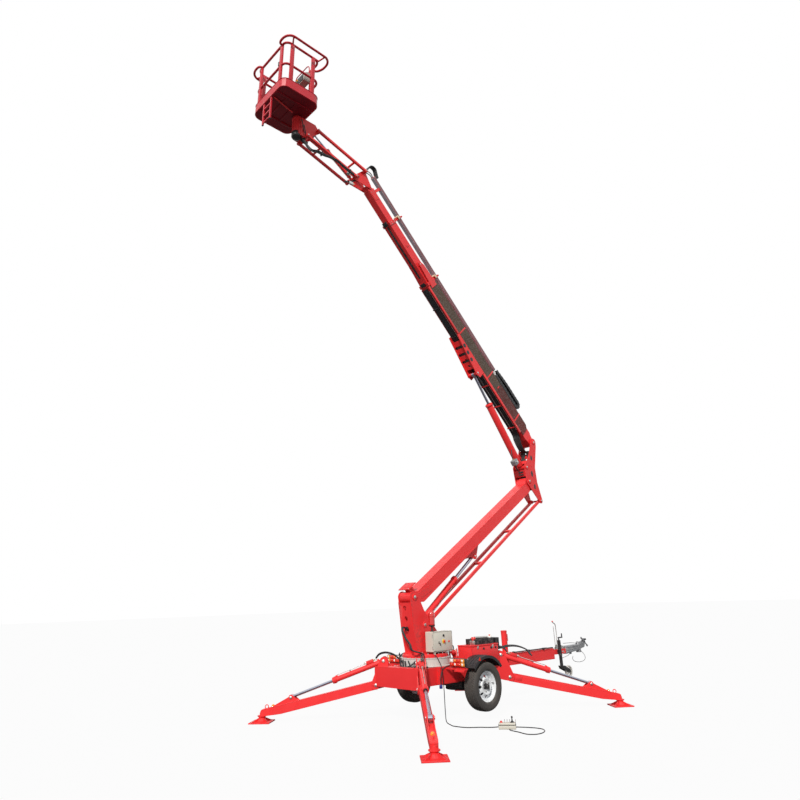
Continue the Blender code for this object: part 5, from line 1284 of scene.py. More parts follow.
# Lift cylinders, booms and knuckle.
booms = {
    "lowerPin": (-0.785, 0, 1.685), "lowerAngle": 32.2, "lowerLength": 4.03, "knuckle": (2.6252, 0, 3.8325),
    "upperPin": (2.9252, 0, 4.6875), "upperAngle": 45.2, "baseHead": 4.17, "midHead": 5.61, "flyHead": 6.36,
    "lowerRoot": (-0.576, 0, 1.285), "lowerEye": (1.724, -0.315), "lowerBarrel": (1.13, 0.048),
    "upperRoot": (2.5802, 0, 4.1175), "upperEye": (2.034, -0.30), "upperBarrel": (1.52, 0.048),
    "straps": (0.668, 1.786, 2.915), "hoseClamps": (0.555, 1.115, 1.643),
}
lowerPlace = placed(booms["lowerPin"], 0, math.radians(booms["lowerAngle"]))
upperPlace = placed(booms["upperPin"], math.pi, math.radians(booms["upperAngle"]))


def bossOf(spot, side, radius, red=None):
    return [(turnedOf([(0.0, 0.010), (radius * 0.9, 0.009), (radius, 0.005), (radius, 0.0), (0.0, 0.0)], spot,
        (0, side, 0), 32), red or redPaint),
            (pinCap((spot[0], spot[1] + side * 0.0095, spot[2]), side, radius * 0.5), zincSteel)]


def seamOf(points, radius=0.003, material=None):
    return tubeOf(points, radius, 6, smooth=False), material or redPaint


def makeLowerBoom():
    parts = []
    length = booms["lowerLength"]
    for side in (-1, 1):
        parts += bossOf((length, side * 0.119, 0), side, 0.050)
        for rise in (-0.183, 0.013):
            parts.append(seamOf([(0.18, side * 0.1195, rise), (length - 0.16, side * 0.1195, rise)]))
        doubler = [(1.22, -0.150), (1.50, -0.150), (1.98, -0.175), (1.98, -0.184), (1.30, -0.184)]
        parts.append((plateOf(doubler, side * 0.119, side * 0.124), redPaint))
        root = [(0.02, -0.10), (0.42, -0.15), (0.42, -0.05), (0.08, 0.0)]
        parts.append((plateOf(root, side * 0.119, side * 0.1235), redPaint))
        eye = booms["lowerEye"]
        parts.append((pinCap((eye[0], side * 0.0615, eye[1]), side, 0.018), zincSteel))
    parts.append((boxOf((0.02, 0.15), (-0.108, 0.108), (0.1492, 0.1535), 0.002), redPlate))
    for ox in (0.0, 0.145):
        for oy in (-0.095, 0.095):
            parts.append((boltOf((ox, oy, 0.1492), (0, 0, 1), 0.009, 0.006), zincSteel))
    piece("lowerBoomDetails", "lower_boom", parts, lowerPlace)
    rods = []
    for along in (0.0, length):
        for side in (-1, 1):
            rods += [
                (pinCap((along, side * 0.1225, 0), side, 0.017), zincSteel),
                (turnedOf([(0.0225, 0.003), (0.037, 0.003), (0.038, 0.0)], (along, side * 0.1225, 0), (0, side, 0),
                28), redPaint)]
    for along in (1.70, 2.82):
        for side in (-1, 1):
            rods.append(seamOf([(along - 0.022, side * 0.078, 0.019), (along + 0.022, side * 0.078, 0.019)]))
    piece("levellingDetails", "levelling_rods", rods, placed((-0.45, 0, 1.315), 0, math.radians(booms["lowerAngle"])))


def makeLiftCylinder(name, body, root, eye, heading, size):
    reach = Vector(eye) - Vector(root)
    elevation = math.atan2(reach.z, math.hypot(reach.x, reach.y))
    length, radius = size
    parts = cylinderFittings(length, radius, -1, 0.027)
    parts += [
        (boxOf((0.10, 0.20), (-0.034, 0.034), (-radius - 0.030, -radius + 0.004), 0.004), redPlate),
        (rodOf((0.20, 0.012, -radius - 0.014), (0.235, 0.012, -radius - 0.014), 0.010, 6), brassFitting)]
    piece(name, body, parts, placed(root, heading, elevation))


def fromUpper(along, rise):
    a = math.radians(booms["upperAngle"])
    x, _, z = booms["upperPin"]
    return x - along * math.cos(a) + rise * math.sin(a), 0.0, z + along * math.sin(a) + rise * math.cos(a)


def fromLower(along, rise):
    a = math.radians(booms["lowerAngle"])
    x, _, z = booms["lowerPin"]
    return x + along * math.cos(a) - rise * math.sin(a), 0.0, z + along * math.sin(a) + rise * math.cos(a)


def makeKnuckle():
    place = placed(booms["knuckle"])
    parts = []
    for side in (-1, 1):
        face = side * 0.150
        for (px, pz), r in (((0, 0), 0.046), ((0.30, 0.855), 0.050), ((-0.045, 0.285), 0.044),
            ((0.335, -0.37), 0.036)):
            parts += [
                (turnedOf([(0.026, 0.013), (r * 0.92, 0.012), (r, 0.006), (r, 0.0), (0.026, 0.0)], (px, face, pz),
                (0, side, 0), 36), redPaint),
                (pinCap((px, side * 0.162, pz), side, 0.019), zincSteel)]
        for px, pz in ((0.092, 0.325), (-0.023, 0.017), (-0.065, 0.291)):
            parts.append((boxOf((px + 0.02, px + 0.055), sorted((face, face + side * 0.005)), about(pz, 0.010),
                0.002), redPlate))
        edge = [(0.12, face, 0.62), (0.02, face, 0.44)]
        parts += [
            seamOf(edge),
            seamOf([(0.27, face, 0.02), (0.25, face, 0.30), (0.378, face, 0.80)])]
        for px, pz, w, h in ((0.16, 0.50, 0.026, 0.048), (0.12, 0.16, 0.026, 0.055), (0.17, -0.10, 0.024, 0.045)):
            parts.append((plateOf(ovalOf(px, pz, w + 0.008, h + 0.006), side * 0.1362, side * 0.1512, 0.0),
                blackPlastic))
    front = [(-0.088, 0.095), (-0.080, 0.093), (-0.104, 0.225), (-0.112, 0.227)]
    parts += [
        (plateOf(front, -0.1347, 0.1347), redPlate),
        (boxOf((0.18, 0.188), (-0.1347, 0.1347), (-0.16, 0.33), 0.002), redPlate)]
    for low, high in ((0.12, 0.145), (0.17, 0.20)):
        parts.append((boxOf((-0.1165, -0.0985), (-0.095, 0.02), (low, high), 0.004), blackPlastic))
    piece("knuckleDetails", "knuckle", parts, place)
    lines = []
    for y in (-0.118, -0.092, -0.066, -0.04, 0.04, 0.066, 0.092, 0.118):
        for bend in (0.0, 0.026):
            lines.append((tubeOf([(0.125 + bend, y, -0.14), (0.115 + bend, y, 0.05), (0.125 + bend, y, 0.22),
                (0.165 + bend, y, 0.42), (0.185 + bend, y * 0.9, 0.58), (0.150 + bend, y * 0.7, 0.66)],
                                 0.0125, 10), hoseRubber))
    piece("knuckleHoses", "knuckle", lines, place)


chain = {"side": 0.088, "half": 0.033, "pitch": 0.046, "top": 0.345, "low": 0.205, "start": 1.72, "end": 0.84,
    "link": 0.036}


def makeChain():
    radius = (chain["top"] - chain["low"]) / 2
    middle = (chain["end"], (chain["top"] + chain["low"]) / 2)
    reach = chain["start"] - chain["end"]
    run = int(reach / chain["pitch"])
    path = [(chain["start"] - k * reach / run, chain["top"] - 0.045 + 0.045 * math.sin(math.pi * 0.5 * min(1.0,
        k * 1.6 / run))) for k in range(run)]
    path += [(middle[0] - radius * math.sin(math.pi * k / 8), middle[1] + radius * math.cos(math.pi * k / 8))
        for k in range(9)]
    path += [(chain["end"] + k * reach / run, chain["low"]) for k in range(1, run)]
    near, half, tall = chain["side"], chain["half"], chain["link"]
    links = []
    for k, ((ax, az), (bx, bz)) in enumerate(zip(path, path[1:])):
        way = Vector((bx - ax, 0, bz - az))
        length = way.length
        turn = Matrix.Translation((ax, 0, az)) @ Matrix.Rotation(-math.atan2(way.z, way.x), 4, "Y")
        lap = 0.005 * (k % 2)
        outline = [(-0.004, -tall * 0.6), (0.004, -tall), (length - 0.004, -tall), (length + 0.006, -tall * 0.6),
                   (length + 0.006, tall * 0.6), (length - 0.004, tall), (0.004, tall), (-0.004, tall * 0.6)]
        shapes = []
        for side in (-1, 1):
            inner = side * (half - lap)
            shapes += [
                plateOf(outline, near + inner, near + inner - side * 0.005, 0.001),
                rodOf((length, near + side * half, 0), (length, near + side * (half + 0.003), 0), 0.006, 12)]
        for rise in (-tall + 0.002, tall - 0.006):
            shapes.append(boxOf((length * 0.28, length * 0.72), (near - half + 0.004, near + half - 0.004),
                (rise, rise + 0.004), 0.001))
        for shape in shapes:
            shape.transform(turn)
            links.append((shape, blackPlastic))
    for y in (-0.016, 0.0, 0.016):
        links.append((tubeOf([(x, near + y, z) for x, z in path[::2]], 0.0075, 8, steps=2), hoseRubber))
    links.append((boxOf((1.70, 1.76), about(near, half), (chain["low"] - 0.055, chain["low"] + 0.022), 0.003),
        zincSteel))
    piece("chainLoop", "upper_boom", links, upperPlace)


def makeGuide(along, rollerMaterial):
    parts = []
    for side in (-1, 1):
        parts += [
            (boltOf((along, side * 0.0570, 0.36), (0, side, 0), 0.009, 0.007), zincSteel),
            seamOf([(along + 0.021, side * 0.03, 0.13), (along + 0.021, side * 0.03, 0.30)])]
    parts += [
        (rodOf((along + 0.040, -0.050, 0.299), (along + 0.040, 0.050, 0.299), 0.020, 28, rounding=0.002),
        rollerMaterial),
        (rodOf((along + 0.040, -0.066, 0.299), (along + 0.040, 0.066, 0.299), 0.006, 12), zincSteel),
        (boxOf((along - 0.018, along + 0.060), (0.0575, 0.070), (0.285, 0.325), 0.003), rollerMaterial)]
    for side in (-1, 1):
        parts.append((boxOf((along + 0.018, along + 0.048), span(side, 0.053, 0.058), (0.290, 0.322), 0.001),
            redPaint))
    parts.append((turnedOf([(0.0, 0.020), (0.010, 0.018), (0.014, 0.010), (0.010, 0.002), (0.0, 0.0)],
        (along, 0.058, 0.405), (0, 1, 0), 24), redKnob))
    return parts


def makeUpperBoom():
    head = booms["baseHead"]
    parts = []
    for side in (-1, 1):
        # the near-side panels carry painted shade and reflection, maroon near the root and olive further out; the far
        # side stays red plate
        shadeOrPlate = oliveShadeReflection if side > 0 else redPlate
        low = side * 0.1104
        parts += [
            (plateOf([(0.30, -0.128), (1.45, -0.128), (1.45, 0.150), (0.38, 0.150), (0.30, 0.09)], low,
            side * 0.1262), maroonShadeReflection if side > 0 else redPlate),
            (plateOf([(1.452, -0.128), (4.08, -0.128), (4.08, 0.150), (1.452, 0.150)], low, side * 0.1262), shadeOrPlate)]
        if side > 0:
            parts += [
                (boxOf((0.40, 1.92), (0.1108, 0.1275), (-0.185, -0.128), 0.003), redPaint),
                (boxOf((2.94, 4.09), (0.1108, 0.1275), (-0.175, -0.128), 0.003), redPaint)]
        parts += [
            (plateOf([(4.02, -0.09), (4.50, -0.05), (4.62, -0.05), (4.62, 0.03), (4.50, 0.085), (4.02, 0.10)],
            side * 0.1245, side * 0.1365), redPaint),
            (boxOf((4.36, 4.44), span(side, 0.112, 0.126), (-0.03, 0.06), 0.003), redPaint),
            (pinCap((4.56, side * 0.136, -0.005), side, 0.014), zincSteel)]
        for along in booms["straps"]:
            parts.append((boxOf(about(along, 0.016), span(side, 0.124, 0.1305), (-0.130, 0.153), 0.002), redPaint))
        parts.append((boxOf((1.440, 1.464), span(side, 0.124, 0.130), (-0.02, 0.06), 0.002), redPaint))
        parts += bossOf((0, side * 0.108, 0), side, 0.052)
        parts.append(seamOf([(0.17, side * 0.110, 0.119), (0.30, side * 0.110, 0.119)]))
        eye = booms["upperEye"]
        parts.append((pinCap((eye[0], side * 0.124, eye[1]), side, 0.022), zincSteel))
        for along, rise in ((2.34, -0.245), (2.50, -0.22), (2.66, -0.195)):
            parts.append((plateOf(ovalOf(along, rise, 0.043, 0.043), side * 0.112, side * 0.1262, 0.0), blackPlastic))
    for along in (head - 0.058, head - 0.014):
        for side in (-1, 1):
            parts += [
                (boltOf((along, side * 0.124, 0.06), (0, side, 0), 0.009, 0.007), zincSteel),
                (boltOf((along, side * 0.124, -0.06), (0, side, 0), 0.009, 0.007), zincSteel)]
    parts += [
        (boxOf((head - 0.045, head + 0.030), (-0.060, 0.060), (-0.150, -0.1345), 0.003), blackPlastic),
        (plateOf([(2.154, -0.274), (2.794, -0.162), (2.794, -0.157), (2.154, -0.269)], -0.106, 0.106, 0.0),
        blackPaint)]
    parts += makeGuide(head - 0.035, creamRoller)
    piece("upperBoomDetails", "upper_boom", parts, upperPlace)
    lines = []
    for k, y in enumerate((0.030, 0.002, -0.026, -0.054, -0.082, -0.108)):
        lines.append((tubeOf([(4.06, y * 0.8, -0.137), (3.2, y * 0.8, -0.136), (2.4, y * 0.9, -0.137),
            (1.98, y, -0.140), (1.4, y, -0.137), (0.8, y, -0.137), (0.40, y, -0.140),
                              (0.27, y * 0.9, -0.185 - 0.004 * k), (0.13, y * 0.7, -0.240 - 0.005 * k),
                              (0.00, y * 0.6, -0.245 - 0.005 * k), (-0.09, y * 0.6, -0.20), (-0.12, y * 0.6, -0.12)],
                             0.0145, 10, steps=6), hoseRubber))
    lines += [
        (rodOf((0.46, 0.055, -0.139), (4.0, 0.055, -0.139), 0.006, 12), zincSteel),
        (rodOf((0.46, -0.040, -0.156), (1.98, -0.040, -0.156), 0.005, 12), zincSteel)]
    for along in booms["hoseClamps"]:
        lines.append((boxOf(about(along, 0.014), (-0.122, 0.066), (-0.170, -0.161), 0.002), redPaint))
    for along in (2.2, 2.9, 3.6):
        lines.append((boxOf(about(along, 0.012), (-0.122, 0.060), (-0.157, -0.1205), 0.003), blackPaint))
    piece("boomHoseRuns", "upper_boom", lines, upperPlace, replaced=("boom_hoses",))


def makeSections():
    mid, fly = booms["midHead"], booms["flyHead"]
    parts = makeGuide(mid - 0.03, creamRoller)
    for side in (-1, 1):
        for along in (mid - 0.048, mid - 0.012):
            for rise in (-0.05, 0.05):
                parts.append((boltOf((along, side * 0.106, rise), (0, side, 0), 0.008, 0.007), zincSteel))
        parts.append((boxOf((mid - 0.62, mid - 0.56), span(side, 0.0925, 0.0965), (-0.04, 0.04), 0.002), redPlate))
    parts += [
        (boxOf(about(mid, 0.05), (-0.055, 0.055), (-0.146, -0.1165), 0.004), blackPlastic),
        (boxOf((4.32, mid - 0.07), (-0.020, 0.020), (-0.1145, -0.1025), 0.002), blackPaint)]
    piece("midDetails", "mid_section", parts, upperPlace)
    parts = []
    for side in (-1, 1):
        parts += [
            (pinCap((6.42, side * 0.083, -0.02), side, 0.020), zincSteel),
            (plateOf([(fly - 0.24, -0.07), (fly - 0.01, -0.078), (fly - 0.01, 0.078), (fly - 0.24, 0.07)],
            side * 0.0762, side * 0.0815), redPaint)]
        for rise in (-0.045, 0.045):
            parts.append((boltOf((fly - 0.06, side * 0.0815, rise), (0, side, 0), 0.007, 0.006), zincSteel))
    cap = [(6.5502, 0.3225), (6.562, 0.326), (6.562, 0.394), (6.5502, 0.3975)]
    parts += [
        (plateOf(cap, -0.0375, 0.0375, 0.003), redKnob),
        (boxOf((1.726, 1.7398), (-0.0375, 0.0375), (0.3225, 0.3975), 0.003), blackPlastic)]
    # thin strips along both sides of the cable tube: painted shade and painted reflection of the red boom, with some
    # dirt
    for side in (-1, 1):
        parts.append((boxOf((1.745, 6.545), span(side, 0.0376, 0.0386), (0.327, 0.388), 0.0), tubeShadeReflection))
    for side in (-1, 1):
        parts.append((tubeOf([(6.548, side * 0.012, 0.335), (6.63, side * 0.02, 0.345), (6.70, side * 0.03, 0.29),
            (6.70, side * 0.03, 0.20), (6.66, side * 0.03, 0.13)],
                             0.010, 10), hoseRubber))
    parts.append((boxOf((6.25, 6.33), (-0.045, 0.045), (0.0775, 0.095), 0.003), redPlate))
    piece("flyDetails", "fly_section", parts, upperPlace)


# painted shade and painted reflection: dark maroon standing for the shaded root end of the upper boom's side
maroonShadeReflection = finish("maroonShadeReflection", (0.135, 0.024, 0.020), 0.50, shade=(0.070, 0.020, 0.016), tone=0.8, dust=0.0,
    wear=0.2, gloss=0.15)
# painted shade and painted reflection for the cable tube's sides, with some dirt
tubeShadeReflection = finish("tubeShadeReflection", (0.24, 0.10, 0.105), 0.35, metal=0.4, shade=(0.15, 0.05, 0.06), tone=0.6, dust=0.05,
    gloss=0.5)
boxGrey = finish("boxGrey", (0.44, 0.42, 0.37), 0.45, shade=(0.30, 0.29, 0.26), tone=0.5, dust=0.1, gloss=0.2)
creamRoller = finish("creamRoller", (0.80, 0.68, 0.46), 0.45, dust=0.1)
makeLowerBoom()
makeLiftCylinder("lowerLiftFittings", "lower_lift_barrel", booms["lowerRoot"], fromLower(*booms["lowerEye"]), 0,
    booms["lowerBarrel"])
makeLiftCylinder("upperLiftFittings", "upper_lift_barrel", booms["upperRoot"], fromUpper(*booms["upperEye"]), math.pi,
    booms["upperBarrel"])
makeKnuckle()
upperReach = Vector(fromUpper(*booms["upperEye"])) - Vector(booms["upperRoot"])
sleeve = [(0.0485, 0.055), (0.0705, 0.057), (0.0720, 0.064), (0.0720, 1.462), (0.0705, 1.469), (0.0485, 1.471)]
piece("valveBlock", "upper_lift_barrel",
      [(turnedOf(sleeve, (0, 0, 0), (1, 0, 0), 48), redPaint),
       (turnedOf([(0.0485, 1.474), (0.078, 1.476), (0.082, 1.482), (0.082, 1.512), (0.078, 1.518), (0.030, 1.5195)],
       (0, 0, 0), (1, 0, 0), 48), redPaint),
       (boxOf((0.175, 0.285), (0.012, 0.132), (-0.250, -0.130), 0.010), castSteel),
       (boxOf((0.195, 0.255), (-0.028, 0.050), (-0.140, -0.050), 0.005), blackPaint),
       (rodOf((0.285, 0.072, -0.19), (0.312, 0.072, -0.19), 0.016, 6), brassFitting),
       (rodOf((0.23, 0.132, -0.19), (0.23, 0.150, -0.19), 0.024, 24, rounding=0.003), zincSteel),
       (tubeOf([(0.312, 0.072, -0.19), (0.36, 0.070, -0.18), (0.42, 0.055, -0.11), (0.46, 0.045, -0.060)], 0.008, 10),
       hoseRubber),
       (tubeOf([(0.19, 0.07, -0.19), (0.13, 0.06, -0.21), (0.05, 0.05, -0.19), (0.00, 0.03, -0.13)], 0.012, 10),
       hoseRubber)],
      placed(booms["upperRoot"], math.pi, math.atan2(upperReach.z, abs(upperReach.x))))
makeChain()
makeUpperBoom()
makeSections()
print("booms ready")

# Jib.
jib = {
    "angle": 16, "upperRoot": (-1.75, 0, 9.505), "lowerRoot": (-1.99, 0, 9.255), "length": 1.204, "arm": 0.145,
    "half": 0.0225,
    "bundle": ((-3.190, -0.050, 9.545), (-3.160, -0.075, 9.484), (-3.129, -0.130, 9.354), (-3.070, -0.190, 9.249),
    (-2.966, -0.210, 9.265), (-2.863, -0.210, 9.273),
               (-2.760, -0.210, 9.284), (-2.673, -0.210, 9.304), (-2.516, -0.210, 9.302), (-2.350, -0.200, 9.259),
               (-2.184, -0.190, 9.234), (-1.981, -0.120, 9.286), (-1.826, -0.060, 9.367)),
    "branch": ((-1.80, -0.050, 9.385), (-1.920, -0.056, 9.265), (-2.060, -0.070, 9.140), (-2.180, -0.090, 9.070),
    (-2.240, -0.100, 9.035)),
    "swivel": (-3.30, 0.0), "barrel": (0.72, 0.034),
}


def makeJib():
    for name, body, root in (("jibUpper", "jib_upper_arm", jib["upperRoot"]),
        ("jibLower", "jib_lower_arm", jib["lowerRoot"])):
        place = placed(root, math.pi, math.radians(jib["angle"]))
        parts = []
        for side in (-1, 1):
            outer = side * (jib["arm"] + jib["half"])
            for along in (0.0, jib["length"]):
                parts += [
                    (turnedOf([(0.019, 0.004), (0.033, 0.004), (0.035, 0.0)], (along, outer, 0), (0, side, 0), 28),
                    redPaint),
                    (pinCap((along, outer + side * 0.0125, 0), side, 0.015), zincSteel)]
            for along in (0.055, jib["length"] - 0.055):
                parts.append(seamOf([(along, outer, -0.020), (along, outer, 0.020)]))
        piece(name + "Details", body, parts, place)
    lines = []
    for k, (y, z, r) in enumerate(((0.012, 0.022, 0.012), (-0.012, 0.010, 0.013), (0.010, -0.006, 0.012),
        (-0.010, -0.018, 0.012), (0.022, 0.004, 0.010))):
        line = [(px, py + y * (1.0 if 1 < n < 9 else 0.6), pz + z + 0.007 * math.sin(n * 1.3 + k * 2.1)) for n,
            (px, py, pz) in enumerate(jib["bundle"])]
        lines.append((tubeOf(line, r, 10, steps=6), hoseRubber))
    for px, py, pz in ((-2.184, -0.190, 9.234), (-2.863, -0.210, 9.273)):
        lines.append((boxOf(about(px, 0.012), about(py, 0.034), about(pz, 0.038), 0.004), blackPlastic))
    piece("jibHoses", "jib_lower_arm", lines)
    loop = []
    for k, y in enumerate((-0.055, -0.030, 0.0, 0.030)):
        loop.append((tubeOf([(-1.345, y, 9.60), (-1.375, y, 9.70), (-1.405, y, 9.790 + 0.004 * k),
            (-1.475, y, 9.826 + 0.004 * k), (-1.550, y - 0.005, 9.790), (-1.610, y - 0.01, 9.700),
                             (-1.660, y * 0.5 - 0.03, 9.580), (-1.730, y * 0.4 - 0.045, 9.455),
                             (-1.80, y * 0.3 - 0.052, 9.395)], 0.0125, 10, steps=6), hoseRubber))
    loop += [(tubeOf([(px, py, pz - k * 0.02) for px, py, pz in jib["branch"]], 0.009, 10), hoseRubber)
        for k in range(2)]
    loop += [
        (boxOf((-2.135, -2.045), (-0.128, -0.098), (9.030, 9.085), 0.006), zincSteel),
        (rodOf((-2.045, -0.113, 9.058), (-2.01, -0.113, 9.062), 0.012, 6), brassFitting)]
    piece("jibRootHoses", "jib_bracket", loop)
    base = Vector(jib["lowerRoot"])
    tip = Vector(jib["upperRoot"]) + Vector((-math.cos(math.radians(jib["angle"])), 0,
        math.sin(math.radians(jib["angle"])))) * jib["length"]
    reach = tip - base
    fittings = cylinderFittings(*jib["barrel"], -1, 0.016)
    fittings.append((boxOf((0.10, 0.17), (0.020, 0.062), (-0.030, 0.030), 0.004), zincSteel))
    piece("jibBarrelFittings", "jib_barrel", fittings, placed(base, math.pi, math.atan2(reach.z, -reach.x)))
    sx, sy = jib["swivel"]
    head = []
    for side in (-1, 1):
        head.append((boxOf((-3.30, -3.20), span(side, 0.094, 0.1005), (9.62, 9.78), 0.003), redPlate))
        for px, pz in ((-2.907, 9.837), (-3.147, 9.587)):
            head.append((turnedOf([(0.019, 0.006), (0.038, 0.005), (0.042, 0.0)], (px, side * 0.109, pz),
                (0, side, 0), 28), redPaint))
    head += [
        (turnedOf([(0.0, 9.520), (0.050, 9.522), (0.082, 9.535), (0.094, 9.556), (0.094, 9.640), (0.0905, 9.648)],
        (sx, sy, 0), (0, 0, 1), 44), blackPaint),
        (turnedOf([(0.0905, 9.935), (0.098, 9.940), (0.098, 9.975), (0.0905, 9.985)], (sx, sy, 0), (0, 0, 1), 44),
        redPaint)]
    for k in range(10):
        a = math.tau * k / 10
        head.append((boltOf((sx + 0.080 * math.cos(a), 0.080 * math.sin(a), 9.9955), (0, 0, 1), 0.006, 0.006),
            zincSteel))
    for px, pz in ((-3.279, 9.90), (-3.226, 9.80)):
        head += [
            (rodOf((px, -0.085, pz), (px, -0.125, pz), 0.012, 6), brassFitting),
            (tubeOf([(px, -0.125, pz), (px - 0.01, -0.150, pz - 0.03), (px + 0.03, -0.14, pz - 0.16),
            (-3.14, -0.06, 9.55)], 0.009, 10), hoseRubber)]
    for y in (-0.03, 0.0, 0.03):
        head.append((tubeOf([(-3.060, y, 9.530), (-3.14, y, 9.555), (-3.20, y, 9.575)], 0.012, 10), hoseRubber))
    piece("jibHeadDetails", "jib_head", head)


makeJib()
print("jib ready")

# Platform and its console.
basket = {
    "middle": -3.555, "floor": 10.03, "depth": 0.80, "width": 1.05, "corner": 0.14, "toe": 0.19, "height": 1.10,
    "panel": (-3.346, -0.23, 0.25, 10.79, 11.25),
}


def makeBasket():
    x, z = basket["middle"], basket["floor"]
    hx, hy = basket["depth"] / 2, basket["width"] / 2
    outline = roundedOf(about(x, hx), (-hy, hy), basket["corner"], 10)

    def flat(points, low, high):
        def fill(work):
            face = work.faces.new([work.verts.new((px, py, low)) for px, py in points])
            moved = bmesh.ops.extrude_face_region(work, geom=[face])["geom"]
            bmesh.ops.translate(work, verts=[g for g in moved if isinstance(g, bmesh.types.BMVert)],
                vec=(0, 0, high - low))
            bmesh.ops.recalc_face_normals(work, faces=work.faces)
        return asMesh(fill)
    inner = roundedOf((x - hx + 0.022, x + hx - 0.022), (-hy + 0.022, hy - 0.022), basket["corner"] - 0.022, 8)
    # the floor sheet, bars and ring under the platform use painted shade, a dark maroon where shade falls
    parts = [(flat(inner, z - 0.0035, z - 0.0005), basketUnderShade)]
    parts.append((tubeOf([(px, py, z + basket["toe"]) for px, py in outline], 0.006, 8, closed=True, steps=1),
        basketRed))
    parts.append((tubeOf([(px, py, z + 0.002) for px, py in roundedOf((x - hx + 0.003, x + hx - 0.003),
        (-hy + 0.003, hy - 0.003), basket["corner"] - 0.003, 10)],
                         0.006, 8, closed=True, steps=1), basketRed))
    for y in (-0.30, 0.30):
        parts.append((boxOf((x - hx + 0.032, x + hx - 0.032), about(y, 0.021), (z - 0.0235, z - 0.0205), 0.001),
            basketUnderShade))
    for px in (x - 0.16, x + 0.05):
        parts.append((boxOf(about(px, 0.018), (-0.277, 0.277), (z - 0.018, z - 0.003), 0.002), basketUnderShade))
    parts.append((turnedOf([(0.076, -0.033), (0.084, -0.030), (0.084, -0.004), (0.076, -0.003)], (-3.30, 0, z),
        (0, 0, 1), 40), basketUnderShade))
    floorTop = z + 0.0062
    for row in range(13):
        for column in range(17):
            px, py = x - 0.33 + row * 0.055, -0.44 + column * 0.055
            if abs(px - x) < hx - 0.05 and abs(py) < hy - 0.05 and math.hypot(px + 3.30, py) > 0.0:
                turn = math.radians(45 if (row + column) % 2 else -45)
                dash = boxOf((-0.012, 0.012), (-0.0028, 0.0028), (0, 0.0016), 0.0)
                dash.transform(Matrix.Translation((px, py, floorTop)) @ Matrix.Rotation(turn, 4, "Z"))
                parts.append((dash, basketRed))
    piece("basketDetails", "platform", parts)

    rails = []
    railIn = 0.031
    posts = ((x - hx + railIn, -hy + 0.17), (x - hx + railIn, hy - 0.17), (x - hx + 0.17, -hy + railIn),
        (x + hx - 0.17, -hy + railIn),
             (x - hx + 0.17, hy - railIn), (x + hx - 0.17, hy - railIn), (x + hx - railIn, 0.22),
             (x + hx - railIn, -0.22))
    for px, py in posts:
        for pz in (z + basket["height"] * 0.52, z + basket["height"] - 0.004):
            rails.append((turnedOf([(0.0215, -0.020), (0.0255, -0.016), (0.0255, 0.012), (0.0215, 0.016)],
                (px, py, pz - 0.012), (0, 0, 1), 20), basketRed))
        rails.append((turnedOf([(0.0215, 0.0), (0.030, 0.001), (0.030, 0.006), (0.0215, 0.008)], (px, py, z + 0.006),
            (0, 0, 1), 20), basketRed))
    gateX = x - hx + 0.031
    rails += [
        (rodOf((gateX, -0.30, z + 0.62), (gateX, -0.30, z + 0.70), 0.026, 20), blackPlastic),
        (boxOf((gateX - 0.024, gateX - 0.018), (0.18, 0.22), (z + 0.555, z + 0.595), 0.002), zincSteel)]
    stepX = x - hx + 0.02
    for sy in (-0.12, 0.12):
        for pz in (-0.14, -0.30, -0.46):
            rails.append(seamOf([(stepX - 0.013, sy * 0.84, z + pz + 0.012),
                (stepX - 0.013, sy * 0.84, z + pz - 0.012)], 0.003, basketRed))
        rails += [
            (boxOf(about(stepX, 0.014), about(sy, 0.020), (z - 0.508, z - 0.500), 0.002), blackPlastic),
            (boltOf((stepX - 0.012, sy, z + 0.025), (-1, 0, 0), 0.009, 0.007), zincSteel)]
    for pz in (-0.14, -0.30, -0.46):
        for k in range(7):
            gy = -0.09 + k * 0.03
            rails.append((boxOf(about(stepX, 0.010), about(gy, 0.004), (z + pz + 0.0118, z + pz + 0.0138), 0.0005),
                basketRed))
    piece("basketFittings", "platform", rails)

    tubes = []
    for k, (px, py) in enumerate(posts):
        wide, deep = (0.021, 0.037) if k in (0, 1, 6, 7) else (0.037, 0.021)
        tubes.append((boxOf(about(px, wide), about(py, deep), (z + 0.008, z + basket["height"]), 0.008), basketRed))
    loop = roundedOf((x - hx + railIn, x + hx - railIn), (-hy + railIn, hy - railIn), basket["corner"] - railIn, 8)
    for pz in (z + basket["height"] * 0.52, z + basket["height"]):
        tubes.append((tubeOf([(px, py, pz) for px, py in loop], 0.0225, 12, closed=True, steps=1), basketRed))
    guard = ((-3.930, -0.345), (-3.975, -0.365), (-3.995, -0.420), (-3.992, -0.510), (-3.960, -0.590),
        (-3.900, -0.640), (-3.820, -0.655), (-3.60, -0.655),
             (-3.20, -0.655), (-3.130, -0.645), (-3.070, -0.600), (-3.035, -0.520), (-3.035, -0.400),
             (-3.070, -0.300), (-3.120, -0.250), (-3.186, -0.22))
    for side in (-1, 1):
        tubes.append((tubeOf([(px, -side * py, z + 1.112) for px, py in guard], 0.0225, 12, steps=5), basketRed))
    tubes.append((rodOf((-3.906, -0.163, z - 0.016), (-3.456, -0.073, z - 0.030), 0.014, 16), redPaint))
    piece("basketTubes", "platform", tubes)

